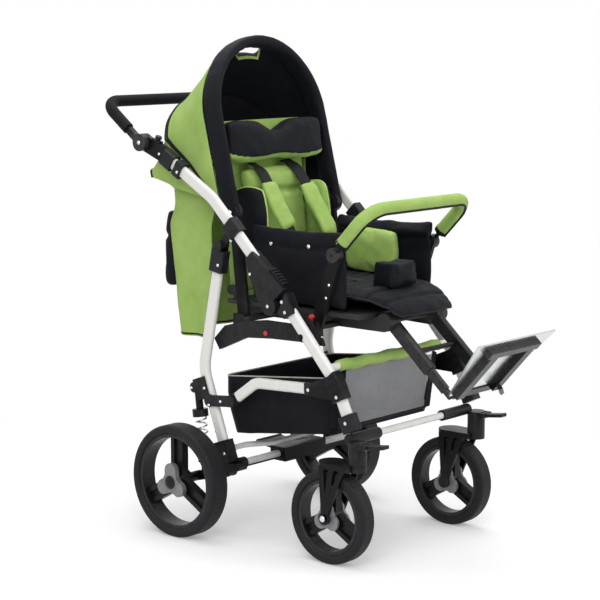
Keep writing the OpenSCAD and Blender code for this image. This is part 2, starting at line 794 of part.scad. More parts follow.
// The caster head takes the foot of the leg, the swivel stem and the front cross tube
head_sleeve = 34;
socket_r = cross_r + sleeve_wall;
lock_ear_t = 5;
module caster_head() {
    difference() {
        union() {
            side(frame_x) run([leg_foot_p - foot_dir*head_sleeve, leg_foot_p + foot_dir*sleeve_wall],
                tube_bend)
                rounded(tube_d + 2*sleeve_wall, casting_t, sleeve_wall);
            translate([frame_x, -caster_fwd, head_low_z]) cylinder(r = caster_head_r, h = caster_head_h);
            bar_x([-cross_fwd, cross_z], socket_r, cross_bare, frame_x);
            for (i = [-1, 1]) plate(frame_x + i*(lock_w/2 + gap + lock_ear_t/2) - lock_ear_t/2,
                frame_x + i*(lock_w/2 + gap + lock_ear_t/2) + lock_ear_t/2) {
                disc_at(lock_pivot_p, lock_t);
                strip(lock_pivot_p, [-caster_fwd, lock_pivot_p[1]], 2*lock_t);
            }
            bar_x(lock_pivot_p, pin_r, frame_x - lock_w/2 - gap - lock_ear_t,
                frame_x + lock_w/2 + gap + lock_ear_t);
        }
        side(frame_x) front_leg_path() oval(tube_d, tube_w);
        translate([frame_x, -caster_fwd, head_low_z - cut])
            cylinder(r = caster_stem_r + run_gap, h = caster_head_h*stem_share + 2*cut);
        bar_x([-cross_fwd, cross_z], cross_r, cross_bare - cut, tube_in_x);
        bar_x(lock_pivot_p, lock_t + gap, frame_x - lock_w/2 - gap, frame_x + lock_w/2 + gap);
    }
    bar_x(lock_pivot_p, pin_r, frame_x - lock_w/2 - gap - lock_ear_t,
        frame_x + lock_w/2 + gap + lock_ear_t);
}

stud_r = 8;
stud_p = mix(leg_top_p, leg_bend_p, 0.36) - beside(leg_dir)*(tube_d/2);
module leg_stud() {
    difference() {
        bar_x(stud_p, stud_r, frame_x - stud_r, frame_x + stud_r);
        side(frame_x) front_leg_path() oval(tube_d, tube_w);
    }
}

module leg_castings() {
    color("black") pair() {
        leg_stud();
        fold_housing();
        link_joint();
        caster_head();
    }
}

upper_cross_p = [mix(leg_top_p, leg_bend_p,
    (leg_top_p[1] - upper_cross_z)/(leg_top_p[1] - leg_bend_p[1]))[0],
    upper_cross_z];
module cross_tubes() {
    color("whitesmoke") {
        bar_x([-cross_fwd, cross_z], cross_r, -tube_in_x, tube_in_x);
        bar_x(upper_cross_p, upper_cross_r, -tube_in_x, tube_in_x);
    }
}

module cross_tube_sleeve() {
    color("yellowgreen") difference() {
        bar_x(upper_cross_p, wrap_r, -wrap_half, wrap_half);
        bar_x(upper_cross_p, upper_cross_r, -wrap_half - cut, wrap_half + cut);
    }
}

// Seat unit

plate_len = plate_fwd - plate_back_fwd;
plate_top_shares = [[0, -1.4], [0.1, -0.6], [0.26, -0.24], [0.47, 0], [0.8, 0], [0.98, -0.6]];
plate_low_shares = [[1, -0.95], [0.8, -0.9], [0.55, -0.95], [0.31, -1.1], [0.18, -1.55], [0.05, -2]];
function plate_at(s) = [-plate_back_fwd - plate_len*s[0], plate_top_z + plate_band*s[1]];

post_x = seat_half + panel_t + 2*soft_gap;
bumper_foot_p = plate_at([0.86, -0.2]);
hood_foot_p = plate_at([0.2, -0.3]);
bracket_shares = [[0.76, 0.2], [0.86, 0.6], [0.92, 0.3], [0.98, -0.5], [0.98, -0.95], [0.78, -0.85]];
latch_p = plate_at([0.86, 0.32]);
latch_r = 9;
latch_l = 24;
module seat_plates() {
    color("black") {
        pair() {
            plate(plate_x, plate_x + plate_t) polygon([for (s = concat(plate_top_shares,
                plate_low_shares)) plate_at(s)]);
            plate(plate_x + plate_t, in_x) polygon([for (s = bracket_shares) plate_at(s)]);
            plate(post_x, plate_x) {
                translate(bumper_foot_p) square([post_w, post_w], center = true);
                translate(hood_foot_p) square([post_w, post_w], center = true);
            }
            plate(post_x, post_x + post_t) {
                strip(bumper_foot_p, bumper_p, post_w);
                disc_at(bumper_p, post_w/2);
                strip(hood_foot_p, hood_p, post_w);
                disc_at(hood_p, post_w/2);
            }
            bar_x(bumper_p, pin_r, post_x, post_x + post_t + bumper_joint_t);
            bar_x(hood_p, pin_r, post_x, hood_out_x);
            bar_x(latch_p, pin_r, plate_x + gap, in_x);
        }
    }
}
bumper_joint_t = 12;
hood_out_x = hood_half + rim_pad/2;

module seat_latches() {
    color("red") pair() difference() {
        plate(plate_x + gap, plate_x + plate_t - gap) {
            disc_at(latch_p, latch_r);
            strip(latch_p, latch_p + [-latch_l, latch_l]/2, latch_r);
        }
        bar_x(latch_p, pin_r + run_gap, plate_x, in_x);
    }
}

rail_w = 20;
rail_x = legrest_x + legrest_w/2 + gap;
rail_low_z = legrest_z - legrest_disc_r;
beam_d = 26;
beam_shares = [0.26, 0.86];
ear_t = 8;
ear_r = 12;
barrel_r = 9;
barrel_pin = 5;
barrel_grip = 10;
module seat_base() {
    board_front = legrest_fwd - legrest_disc_r - 2*gap;
    color("black") difference() {
        union() {
            translate([-post_x, -board_front, board_z - board_t])
                cube([2*post_x, board_front - recline_fwd - barrel_r - 2*gap, board_t]);
            for (i = [-1, 1]) {
                translate([i*(rail_x + rail_w/2) - rail_w/2, -legrest_fwd, rail_low_z])
                    cube([rail_w, legrest_fwd - recline_fwd - ear_r, board_z - board_t - rail_low_z]);
                bar_x(legrest_p, legrest_disc_r, i*(rail_x + rail_w/2) - rail_w/2,
                    i*(rail_x + rail_w/2) + rail_w/2);
            }
            for (s = beam_shares) translate([-plate_x, plate_at([s, 0])[0] - beam_d/2, rail_low_z])
                cube([2*plate_x, beam_d, plate_top_z - rail_low_z]);
            bar_x(legrest_p, pin_r, -rail_x - rail_w, rail_x + rail_w);
            pair() {
                plate(back_half + gap, back_half + gap + ear_t) {
                    disc_at(recline_p, ear_r);
                    strip(recline_p, [-recline_fwd - 2*ear_r, board_z - board_t/2], board_t);
                    strip(recline_p, recline_p - [2*ear_r, 0], 2*ear_r);
                }
                bar_x(recline_p, barrel_pin, back_half - barrel_grip, back_half + gap + ear_t);
            }
        }
        pair() plate(post_x, plate_x + cut) for (p = [hood_foot_p, bumper_foot_p])
            translate(p) square([post_w, post_w], center = true);
    }
}

// The seat pad is flat at the back and droops at the front, sewn across into channels
pad_rows = 36;
pad_channels = 12;
pad_clear = 12;
pad_back_fwd = recline_fwd + back_t + cushion_t + pad_clear;
function pad_path(t) = let (total = pad_l + pad_nose, d = t*total, over = max(0, d - pad_l)/pad_nose)
    [-pad_back_fwd - d, board_z + soft_gap + pad_t/2 - pad_fall*over*over];
function seat_pad_point(u, t, s) = let (
    c = pad_path(t),
    over = max(0, t*(pad_l + pad_nose) - pad_l)/pad_nose,
    half = mix(seat_half - 2*soft_gap, pad_nose_half, over),
    sew = pad_sew_share*pow(abs(cos(180*pad_channels*t)), 6),
    crown = bulge(u, 4)*bulge(2*t - 1, 8)*(1 - sew),
    thin = min(1, max(0, t*(pad_l + pad_nose) - pad_thick_l)/pad_step_l),
    lift = s > 0 ? seat_edge_share + (1 - seat_edge_share)*crown : -mix(1, pad_under_share, thin))
    [u*half, c[0], c[1] + lift*pad_t/2];
pad_thick_l = 180;
pad_step_l = 90;
pad_under_share = -0.36;
seat_edge_share = 0.7;
module seat_pad() {
    color("black") skin(
        [for (i = [0:pad_steps]) [for (j = [0:pad_rows]) seat_pad_point(2*i/pad_steps - 1, j/pad_rows, 1)]],
        [for (i = [0:pad_steps]) [for (j = [0:pad_rows]) seat_pad_point(2*i/pad_steps - 1, j/pad_rows,
            -1)]]);
}

module side_panels() {
    color("black") pair()
        translate([seat_half + panel_t/2, -panel_fwd + panel_l/2, board_z + soft_gap + panel_h/2])
            rotate([0, 90, 0]) pad(panel_h, panel_l, panel_t);
}

hip_fwd = 247;
module hip_pads() {
    color("yellowgreen") pair()
        translate([seat_half - soft_gap - hip_t/2, -hip_fwd, board_z + pad_t + 2*soft_gap + hip_h/2])
            rotate([0, 90, 0]) pad(hip_h, hip_l, hip_t);
}

pommel_fwd = 420;
pommel_sink = 1.2;
module pommel() {
    color("black") translate([0, -pommel_fwd, board_z + pad_t + soft_gap - pommel_sink + pommel_h/2])
        rotate([90, 0, 0]) pad(pommel_w, pommel_h, pommel_d);
}

// Basket

basket_wall = 3;
basket_taper = 16;
basket_round = 24;
basket_sill = 14;
basket_rise = 46;
module tub(grow) {
    hull() for (x = [-1, 1], y = [0, 1]) {
        translate([x*(basket_half - basket_round), -mix(basket_rear_fwd + basket_round,
            basket_front_fwd - basket_round, y), mix(basket_rear_z, basket_front_z, y) - basket_wall])
            cylinder(r = basket_round - grow, h = basket_wall, $fn = 24);
        translate([x*(basket_half - basket_taper - basket_round),
            -mix(basket_rear_fwd + basket_taper + basket_round,
            basket_front_fwd - basket_taper - basket_round, y),
            basket_rear_z - basket_h + basket_rise*y + grow])
            cylinder(r = basket_round - grow, h = basket_wall, $fn = 24);
    }
}

net_half = basket_half - basket_taper - basket_round;
net_low_z = basket_rear_z - basket_h + basket_rise + basket_sill/2;
net_low_p = [-basket_front_fwd + basket_taper - basket_wall/2, net_low_z];
net_top_p = upper_cross_p + [wrap_r, -wrap_r]/sqrt(2);
module basket() {
    color("black") difference() {
        tub(0);
        translate([0, 0, basket_wall]) tub(basket_wall);
        translate([-net_half, -basket_front_fwd - cut, net_low_z + basket_sill/2])
            cube([2*net_half, basket_round, 2*basket_h]);
    }
}

module basket_mesh() {
    dir = unit(net_top_p - net_low_p);
    h = norm(net_top_p - net_low_p) - basket_wall;
    cell_w = (2*net_half - mesh_strand)/mesh_columns;
    cell_h = (h - mesh_strand)/mesh_rows;
    color("gray") translate([-net_half, net_low_p[0], net_low_p[1]])
        rotate([heading(dir), 0, 0])
        linear_extrude(basket_wall) difference() {
            square([2*net_half, h]);
            for (i = [0:mesh_columns - 1], j = [0:mesh_rows - 1])
                translate([mesh_strand + i*cell_w, mesh_strand + j*cell_h])
                    square([cell_w - mesh_strand, cell_h - mesh_strand]);
        }
}

// Hood

hood_rows = 12;
hood_columns = 20;
hood_wall_share = 0.42;
hood_low_share = 0.06;
hood_skirt = 20;
hood_hem = 50;
hood_flare = 31;
hood_flare_power = 10;
hood_rise_share = 0.88;
hood_rib_share = 0.583;
hood_rib_rise_share = 0.56;
hood_rib_depth_share = 0.84;
hood_end_depth_share = 1.26;
hood_back_y = -hood_pivot_fwd + rim_band/2/cos(hood_slope) + 2*soft_gap;
function arch_point(half, h, j) = let (t = j/hood_columns,
    a = 180*(t - hood_wall_share/2)/(1 - hood_wall_share),
    spring = h - half)
    t < hood_wall_share/2 ? [-half, spring*t/(hood_wall_share/2)]
    : t > 1 - hood_wall_share/2 ? [half, spring*(1 - t)/(hood_wall_share/2)]
    : [-half*cos(a), spring + half*sin(a)];
function hood_point(i, j, off) = let (
    s = i/hood_rows,
    front = min(1, s/hood_rib_share),
    rear = max(0, s - hood_rib_share)/(1 - hood_rib_share),
    p = arch_point(hood_half + rim_pad/2 - off, hood_h + rim_pad/2 - off, j),
    rise = mix(1, hood_rib_rise_share, front)*(1 - rear),
    deep = hood_rib_depth_share*front + (hood_end_depth_share - hood_rib_depth_share)*rear,
    up = hood_skirt + hood_hem*s + p[1]*hood_rise_share*mix(hood_low_share, 1, rise))
    [p[0], hood_back_y + up*tan(hood_slope) + (hood_depth - off)*deep + hood_flare*pow(rear, hood_flare_power),
        hood_pivot_z + up];
module hood_fabric() {
    color("yellowgreen") skin(
        [for (i = [0:hood_rows]) [for (j = [0:hood_columns]) hood_point(i, j, 0)]],
        [for (i = [0:hood_rows]) [for (j = [0:hood_columns]) hood_point(i, j, cloth_t)]]);
}

// The back cover hangs in soft upright folds round the back of the seat
cover_rows = 10;
cover_columns = 36;
cover_inset = 11.8;
cover_half = hood_half + rim_pad/2 - cloth_t - cover_inset;
cover_front_fwd = 4;
cover_round = 60;
cover_fold = 5;
cover_folds = 7;
cover_top_z = 882.5;
cover_tuck = 46;
function cover_plan(t, out) = let (
    side_l = cover_back + cover_front_fwd - cover_round,
    arc = 90*cover_round*PI/180,
    back_l = 2*(cover_half - cover_round),
    total = 2*side_l + 2*arc + back_l,
    d = t*total,
    e = d > total/2 ? total - d : d,
    m = d > total/2 ? 1 : -1,
    a = max(0, min(90, 90*(e - side_l)/arc)))
    e < side_l ? [m*(cover_half + out), -cover_front_fwd + e]
    : e < side_l + arc ? [m*(cover_half - cover_round + (cover_round + out)*cos(a)),
        cover_back - cover_round + (cover_round + out)*sin(a)]
    : [m*(cover_half - cover_round - (e - side_l - arc)), cover_back + out];
function cover_point(i, j, off) = let (
    s = i/cover_rows,
    t = j/cover_columns,
    wave = cover_fold*(1 - s)*sin(360*cover_folds*t),
    tuck = cover_tuck*(1 - s)*(1 - s)*max(0, cover_plan(t, 0)[1])/cover_back,
    p = cover_plan(t, wave - off))
    [p[0], p[1] - tuck, mix(cover_low_z, cover_top_z, s)];
module back_cover() {
    color("yellowgreen") skin(
        [for (i = [0:cover_rows]) [for (j = [0:cover_columns]) cover_point(i, j, 0)]],
        [for (i = [0:cover_rows]) [for (j = [0:cover_columns]) cover_point(i, j, cloth_t)]]);
}

pocket_low_z = 556;
pocket_sink = 11.4;
module rear_pocket() {
    color("black") translate([0, cover_back + cover_fold + soft_gap + pocket_d/2 - pocket_sink,
        pocket_low_z + pocket_h/2])
        rotate([90, 0, 0]) pad(pocket_w, pocket_h, pocket_d);
}

// Rivets on the outside of the chassis
rivet_r = 4;
rivet_h = 2.5;
rivet_places = [fold_at([0.8, 0.12]), fold_at([0.93, -0.02]), leg_bend_p + foot_dir*joint_down*0.75,
    link_front_p,
    leg_foot_p - foot_dir*head_sleeve/2];
module chassis_rivets() {
    color("silver") pair() {
        for (p = rivet_places) bar_x(p, rivet_r, out_x, out_x + rivet_h);
        bar_x(fold_p, rivet_r, out_x, out_x + rivet_h);
    }
}

// Upper frame

module upper_path() {
    run([upper_end_p, upper_bend_p, upper_low_p], tube_bend) children();
}

module upper_tubes() {
    color("whitesmoke") pair() side(frame_x) upper_path() oval(tube_d, tube_w);
}

fold_high_shares = [[0, 0.22], [0.33, 0.34], [0.7, 0.45], [0.69, -0.5], [0.62, -0.78], [0.38, -0.64],
    [0, -0.2]];
fold_clear = fold_r + 2*gap;
module fold_half() {
    difference() {
        plate(in_x, out_x) {
            polygon([for (s = fold_high_shares) fold_at(s)]);
            disc_at(fold_p, fold_r);
        }
        plate(in_x - cut, frame_x + gap/2) {
            disc_at(fold_p, fold_clear);
            polygon([fold_at([0.55, 0.6]), fold_at([0.8, 0.6]), fold_at([0.8, -0.9]), fold_at([0.55,
                -0.9])]);
        }
        bar_x(fold_p, pin_r + run_gap, frame_x, out_x + cut);
        side(frame_x) upper_path() oval(tube_d, tube_w);
    }
}

collar_l = 40;
ear_half = 4;
hinge_r = 11;
module hinge_collar() {
    difference() {
        union() {
            side(frame_x) run([hinge_foot_p - upper_dir*collar_l/2,
                hinge_foot_p + upper_dir*collar_l/2], tube_bend)
                rounded(tube_d + 2*sleeve_wall, casting_t, sleeve_wall);
            plate(frame_x - ear_half, frame_x + ear_half) {
                disc_at(hinge_p, hinge_r);
                strip(hinge_foot_p, hinge_p, 2*hinge_r);
            }
        }
        side(frame_x) upper_path() oval(tube_d, tube_w);
        bar_x(hinge_p, pin_r + run_gap, in_x, out_x);
    }
}

ring_l = 22;
ring_gap = 12;
knuckle_l = 60;
button_h = 12;
button_sunk = 6;
button_dir = -beside(knuckle_dir);
button_seat_p = mix(upper_end_p, pivot_p, 0.55) - beside(knuckle_dir)*(tube_d/2 + sleeve_wall);
module clamp_ring() {
    upper_out = unit(upper_bend_p - upper_end_p);
    start = upper_end_p + upper_out*(knuckle_l/2 + ring_gap);
    difference() {
        side(frame_x) run([start, start + upper_out*ring_l], tube_bend)
            rounded(tube_d + 2*sleeve_wall, casting_t, sleeve_wall);
        side(frame_x) upper_path() oval(tube_d, tube_w);
    }
}

module knuckle() {
    upper_out = unit(upper_bend_p - upper_end_p);
    difference() {
        union() {
            side(frame_x) run([upper_end_p + upper_out*knuckle_l/2,
                upper_end_p - upper_out*sleeve_wall], tube_bend)
                rounded(tube_d + 2*sleeve_wall, casting_t, sleeve_wall);
            plate(in_x, frame_x - gap/2) {
                strip(upper_end_p, pivot_p, tube_d + 2*sleeve_wall);
                disc_at(pivot_p, pivot_r);
            }
            plate(in_x, frame_x - gap/2) strip(button_seat_p + beside(knuckle_dir)*tube_d/2,
                button_seat_p + button_dir*button_sunk/2, 2*button_r + 2*sleeve_wall);
            bar_x(pivot_p, pin_r, frame_x - gap, out_x);
        }
        side(frame_x) upper_path() oval(tube_d, tube_w);
        button_hole();
    }
}

button_x = (in_x + frame_x - gap/2)/2;
button_bore = 5;
module button_hole() {
    translate([button_x, button_seat_p[0], button_seat_p[1]]) rotate([heading(button_dir) - 90, 0, 0])
        translate([0, 0, -2*button_sunk]) cylinder(r = button_bore + run_gap, h = 4*button_sunk);
}

module angle_buttons() {
    color("black") pair() translate([button_x, button_seat_p[0], button_seat_p[1]])
        rotate([heading(button_dir) - 90, 0, 0]) {
            translate([0, 0, -button_sunk]) cylinder(r = button_bore, h = button_sunk + button_h);
            translate([0, 0, button_sunk/2 + button_travel + gap]) cylinder(r = button_r, h = button_h/2);
        }
}

module upper_fittings() {
    color("black") pair() {
        fold_half();
        hinge_collar();
        clamp_ring();
        knuckle();
    }
}

// Ribbed catches slide along the upper edge of the fold castings
catch_from_share = 0.36;
catch_to_share = 0.66;
catch_t = 9;
catch_w = 18;
catch_ribs = 6;
catch_dir = unit(fold_at(fold_high_shares[2]) - fold_at(fold_high_shares[1]));
catch_l = fold_l*(catch_to_share - catch_from_share);
catch_p = mix(fold_at(fold_high_shares[1]), fold_at(fold_high_shares[2]), 0.06)
    + beside(catch_dir)*soft_gap;
module fold_catches() {
    pitch = catch_l/catch_ribs;
    color("black") pair() plate(frame_x - catch_w/2, frame_x + catch_w/2) {
        translate(catch_p) rotate(heading(catch_dir)) translate([0, -catch_t/2]) square([catch_l,
            catch_t/2]);
        for (i = [0:catch_ribs - 1]) translate(catch_p) rotate(heading(catch_dir))
            translate([(i + 0.2)*pitch, -catch_t]) square([pitch*0.6, catch_t]);
    }
}

// Push handle

module handle_plane() {
    translate([0, pivot_p[0], pivot_p[1]]) rotate([handle_slope, 0, 0]) children();
}

handle_path = [[-handle_x, handle_bare], [-handle_x, handle_reach], [handle_x, handle_reach],
    [handle_x, handle_bare]];
arm_plate_x0 = frame_x + gap/2;
module handle_tube() {
    color("black") difference() {
        union() {
            handle_plane() run([[-handle_x, pivot_r/2], handle_path[1], handle_path[2], [handle_x,
                pivot_r/2]], handle_bend)
                circle(handle_r - handle_thin);
            pair() plate(arm_plate_x0, out_x) {
                disc_at(pivot_p, pivot_r);
                strip(pivot_p, pivot_p + handle_dir*(handle_bare - gap), 2*handle_r);
            }
        }
        pair() bar_x(pivot_p, pin_r + run_gap, arm_plate_x0 - cut, out_x + cut);
    }
}
handle_thin = 3;

module handle_grip() {
    color("black") difference() {
        handle_plane() run(handle_path, handle_bend) circle(grip_r);
        handle_plane() run(handle_path, handle_bend) circle(handle_r - handle_thin);
    }
}

// Rear frame

module rear_leg_path() {
    run([hinge_p + rear_dir*leg_start, rear_bend_p, rear_foot_p], tube_bend) children();
}
leg_start = 24;

brace_in = 60;
brace_y = mix(rear_bend_p, rear_foot_p, (rear_bend_z - brace_z)/(rear_bend_z - rear_foot_z))[0];
module rear_legs() {
    color("whitesmoke") {
        pair() side(frame_x) rear_leg_path() oval(tube_d, tube_w);
        bar_x([-rear_cross_fwd, rear_cross_z], rear_cross_r, -in_x, in_x);
        translate([0, 0, brace_z]) run([[-tube_in_x, brace_y], [-tube_in_x + brace_in, brace_y],
            [-tube_in_x + 2*brace_in, brace_y - brace_bow], [tube_in_x - 2*brace_in, brace_y - brace_bow],
            [tube_in_x - brace_in, brace_y], [tube_in_x, brace_y]], brace_in/2) circle(brace_r);
    }
}

fork_cheek = (casting_t - 2*ear_half)/2 - gap;
module leg_top_fork() {
    difference() {
        union() {
            for (x = [in_x, out_x - fork_cheek]) plate(x, x + fork_cheek) {
                disc_at(hinge_p, hinge_r);
                strip(hinge_p, hinge_p + rear_dir*(hinge_r + leg_start), 2*hinge_r);
            }
            side(frame_x) run([hinge_p + rear_dir*(hinge_r + 2*gap),
                hinge_p + rear_dir*(leg_start + collar_l)], tube_bend)
                rounded(tube_d + 2*sleeve_wall, casting_t, sleeve_wall);
            bar_x(hinge_p, pin_r, in_x, out_x);
        }
        side(frame_x) rear_leg_path() oval(tube_d, tube_w);
        plate(frame_x - ear_half - gap, frame_x + ear_half + gap) difference() {
            disc_at(hinge_p, hinge_r + gap);
            disc_at(hinge_p, pin_r);
        }
    }
}

// The shoe closes the foot of a rear leg and carries the trailing arm's pivot
shoe_up = 40;
shoe_down = 14;
shoe_socket = 16;
shoe_nub_r = 8;
rod_p = [-rear_cross_fwd - rear_cross_r - sleeve_wall - rod_r - gap, rear_cross_z - shoe_nub_r/2];
module leg_shoe() {
    difference() {
        union() {
            plate(in_x, out_x) {
                strip(rear_foot_p - shoe_dir*shoe_up, rear_foot_p + shoe_dir*shoe_down, tube_d + 2*sleeve_wall);
                strip(rear_foot_p, arm_pivot_p, 2*arm_eye_r);
                disc_at(arm_pivot_p, arm_eye_r);
                strip(rod_p, [rear_foot_p[0], rod_p[1]], 2*shoe_nub_r);
                disc_at(rod_p, shoe_nub_r);
            }
            bar_x([-rear_cross_fwd, rear_cross_z], rear_cross_r + sleeve_wall, in_x - shoe_socket, in_x + cut);
        }
        side(frame_x) rear_leg_path() oval(tube_d, tube_w);
        bar_x([-rear_cross_fwd, rear_cross_z], rear_cross_r, in_x - shoe_socket - cut, in_x);
        bar_x([brace_y, brace_z], brace_r, in_x - cut, tube_in_x);
        plate(frame_x - arm_w/2 - gap, frame_x + arm_w/2 + gap) {
            disc_at(arm_pivot_p, arm_eye_r + 2*gap);
            strip(arm_pivot_p, arm_pivot_p + [2*arm_d, -arm_d/4], arm_d + 4*gap);
        }
    }
    bar_x(arm_pivot_p, pin_r, in_x, out_x);
}
arm_eye_r = arm_d/2 + gap;

// The link bracket stands on the outside of a rear leg and reaches to the open link pivot
link_grip_p = mix(rear_bend_p, rear_foot_p, 0.36);
module link_bracket() {
    plate(tube_out_x, out_x) {
        disc_at(link_grip_p, tube_d/2);
        disc_at(link_rear_p, link_eye_r);
        strip(link_grip_p, link_rear_p, 2*link_eye_r);
    }
}

// The shock mount grips the rear leg above its bend and holds the damper over the axle
mount_drop = 48;
shock_grip_p = rear_bend_p + [0, -mount_drop];
mount_h = 26;
damper_r = 9;
collar_h = 18;
module shock_mount() {
    top_p = [shock_top_p[0] + collar_h/2, shock_grip_p[1]];
    difference() {
        union() {
            plate(in_x, out_x) {
                strip(shock_grip_p, top_p, mount_h);
                disc_at(top_p, mount_h/2);
                strip(shock_grip_p - shoe_dir*mount_h, shock_grip_p + shoe_dir*mount_h, tube_d + 2*sleeve_wall);
            }
            along(shock_top_p, top_p) cylinder(r = damper_r, h = norm(shock_top_p - top_p));
            along(shock_top_p, top_p) cylinder(r = collar_r, h = collar_h);
        }
        side(frame_x) rear_leg_path() oval(tube_d, tube_w);
    }
}

// Turns a shape's upright axis along a line in a frame side
module along(a, b) {
    translate([frame_x, a[0], a[1]]) rotate([heading(b - a) - 90, 0, 0]) children();
}

module rear_fittings() {
    color("black") pair() {
        leg_top_fork();
        leg_shoe();
        link_bracket();
        shock_mount();
    }
}

module shock_springs() {
    color("silver") pair() along(shock_foot_p, shock_top_p)
        translate([0, 0, soft_gap]) coil(norm(shock_top_p - shock_foot_p) - 2*soft_gap);
}

module swing_arm(s) {
    hub_end = rear_x + rear_hub_w/2 - soft_gap;
    seat_low = mix(arm_pivot_p, axle_p, 0.76);
    color("black") on_side(s) difference() {
        union() {
            plate(frame_x - arm_w/2, frame_x + arm_w/2) {
                disc_at(arm_pivot_p, arm_d/2);
                disc_at(axle_p, arm_d/2);
                strip(arm_pivot_p, axle_p, arm_d);
            }
            bar_x(axle_p, rear_axle_r, frame_x, hub_end);
            bar_x(axle_p, rear_axle_r + sleeve_wall, frame_x, rear_x - rear_hub_w/2 - gap);
            along(seat_low, shock_foot_p) cylinder(r = damper_r, h = norm(shock_foot_p - seat_low));
            along(shock_foot_p + shock_dir*sleeve_wall, shock_foot_p)
                cylinder(r = collar_r - sleeve_wall/2, h = sleeve_wall);
        }
        bar_x(arm_pivot_p, pin_r + run_gap, in_x, out_x);
    }
}

// Brake: a housing on the rear cross tube with rods to the wheels, and a foot pedal behind it
brake_p = [-rear_cross_fwd, rear_cross_z];
pedal_eye_r = 6.5;
pedal_pivot_p = brake_p + [brake_d/2 - pedal_eye_r, 0];
pedal_w = 84;
module brake_housing() {
    color("black") {
        difference() {
            translate([-brake_w/2, brake_p[0] - brake_d/2, brake_p[1] - brake_h/2]) cube([brake_w,
                brake_d, brake_h]);
            bar_x(brake_p, rear_cross_r, -brake_w, brake_w);
            translate([-pedal_w/2 - gap, pedal_pivot_p[0] - pedal_eye_r - gap, brake_p[1] - brake_h])
                cube([pedal_w + 2*gap, brake_d, 2*brake_h]);
        }
        bar_x(pedal_pivot_p, pin_r, -pedal_w/2 - gap - cut, pedal_w/2 + gap + cut);
        pair() bar_x(rod_p, rod_r, brake_w/2 - cut, in_x);
    }
}

module brake_pedal() {
    tip = pedal_pivot_p + [pedal_reach, pedal_t];
    color("black") difference() {
        plate(-pedal_w/2, pedal_w/2) {
            disc_at(pedal_pivot_p, pedal_eye_r);
            strip(pedal_pivot_p, tip, pedal_t);
            disc_at(tip, pedal_eye_r);
        }
        bar_x(pedal_pivot_p, pin_r + run_gap, -pedal_w, pedal_w);
    }
}

// Side links

link_grip = link_eye_r + sleeve_wall;
link_ends = [link_front_p, link_rear_p];
function link_start(p) = p + unit(link_bend_p - p)*link_grip;
module side_links() {
    color("whitesmoke") pair() side(frame_x) run([link_start(link_front_p), link_bend_p,
        link_start(link_rear_p)],
        tube_bend/2) oval(link_d, link_w);
}

module link_eyes() {
    color("black") pair() difference() {
        plate(frame_x - link_w/2, frame_x + link_w/2) for (p = link_ends) {
            disc_at(p, link_eye_r);
            strip(p, link_start(p), 2*link_eye_r);
        }
        for (p = link_ends) bar_x(p, pin_r + run_gap, in_x, out_x);
    }
}

// Backrest, drawn upright from its hinge and then sloped

module back_place() {
    translate([0, recline_p[0], recline_p[1]]) rotate([-back_slope, 0, 0]) children();
}

module back_board() {
    color("black") back_place() difference() {
        union() {
            translate([-back_half, -back_t/2, 0]) cube([2*back_half, back_t, back_h]);
            translate([-back_half, 0, 0]) rotate([0, 90, 0]) cylinder(r = barrel_r, h = 2*back_half);
        }
        for (i = [-1, 1]) translate([i*back_half, 0, 0]) rotate([0, 90, 0])
            cylinder(r = barrel_pin + run_gap, h = 2*(barrel_grip + gap), center = true);
    }
}

cushion_lift = 24;
cushion_low = pad_t + cushion_lift;
cushion_h = 222;
module back_cushion() {
    color("yellowgreen") back_place() translate([0, -back_t/2 - soft_gap - cushion_t/2,
        cushion_low + cushion_h/2])
        rotate([90, 0, 0]) pad(cushion_w, cushion_h, cushion_t, 2);
}

trunk_x = cushion_w/2 + soft_gap + trunk_t/2;
trunk_z = 170;
module trunk_supports() {
    color("black") pair() back_place() translate([trunk_x, -back_t/2 - soft_gap - trunk_l/2, trunk_z])
        rotate([0, 90, 0]) pad(trunk_h, trunk_l, trunk_t);
}

strap_top_x = 62;
strap_low_x = 40;
module harness() {
    front = -back_t/2 - 2*soft_gap - cushion_t;
    low = [strap_low_x, cushion_low + strap_w];
    high = [strap_top_x, cushion_low + cushion_h - strap_w/2];
    color("black") back_place() {
        pair() translate([0, front, 0]) rotate([90, 0, 0]) linear_extrude(strap_t) strip(low, high,
            strap_w);
        translate([-strap_low_x - strap_w/2, front - strap_t, low[1] - strap_w])
            cube([2*strap_low_x + strap_w, strap_t, strap_w]);
    }
}

head_lift = 6;
head_low = cushion_low + cushion_h + head_lift;
head_neck_share = 0.58;
head_base_share = 0.9;
function head_point(u, v, s) = [u*head_w/2,
    v*head_h/2*mix(v > 0 ? head_neck_share : head_base_share, 1, pow(sin(90*abs(u)), 2))*mix(1, 0.8, pow(abs(u), 8)),
    s*head_t/2*(pad_edge_share + (1 - pad_edge_share)*bulge(u, 4)*bulge(v, 4))];
module headrest() {
    color("black") back_place() translate([0, -back_t/2 - soft_gap - head_t/2, head_low + head_h/2])
        rotate([90, 0, 0]) skin(
            [for (i = [0:2*pad_steps]) [for (j = [0:pad_steps]) head_point(i/pad_steps - 1,
                2*j/pad_steps - 1, 1)]],
            [for (i = [0:2*pad_steps]) [for (j = [0:pad_steps]) head_point(i/pad_steps - 1,
                2*j/pad_steps - 1, -1)]]);
}

// Hood bow

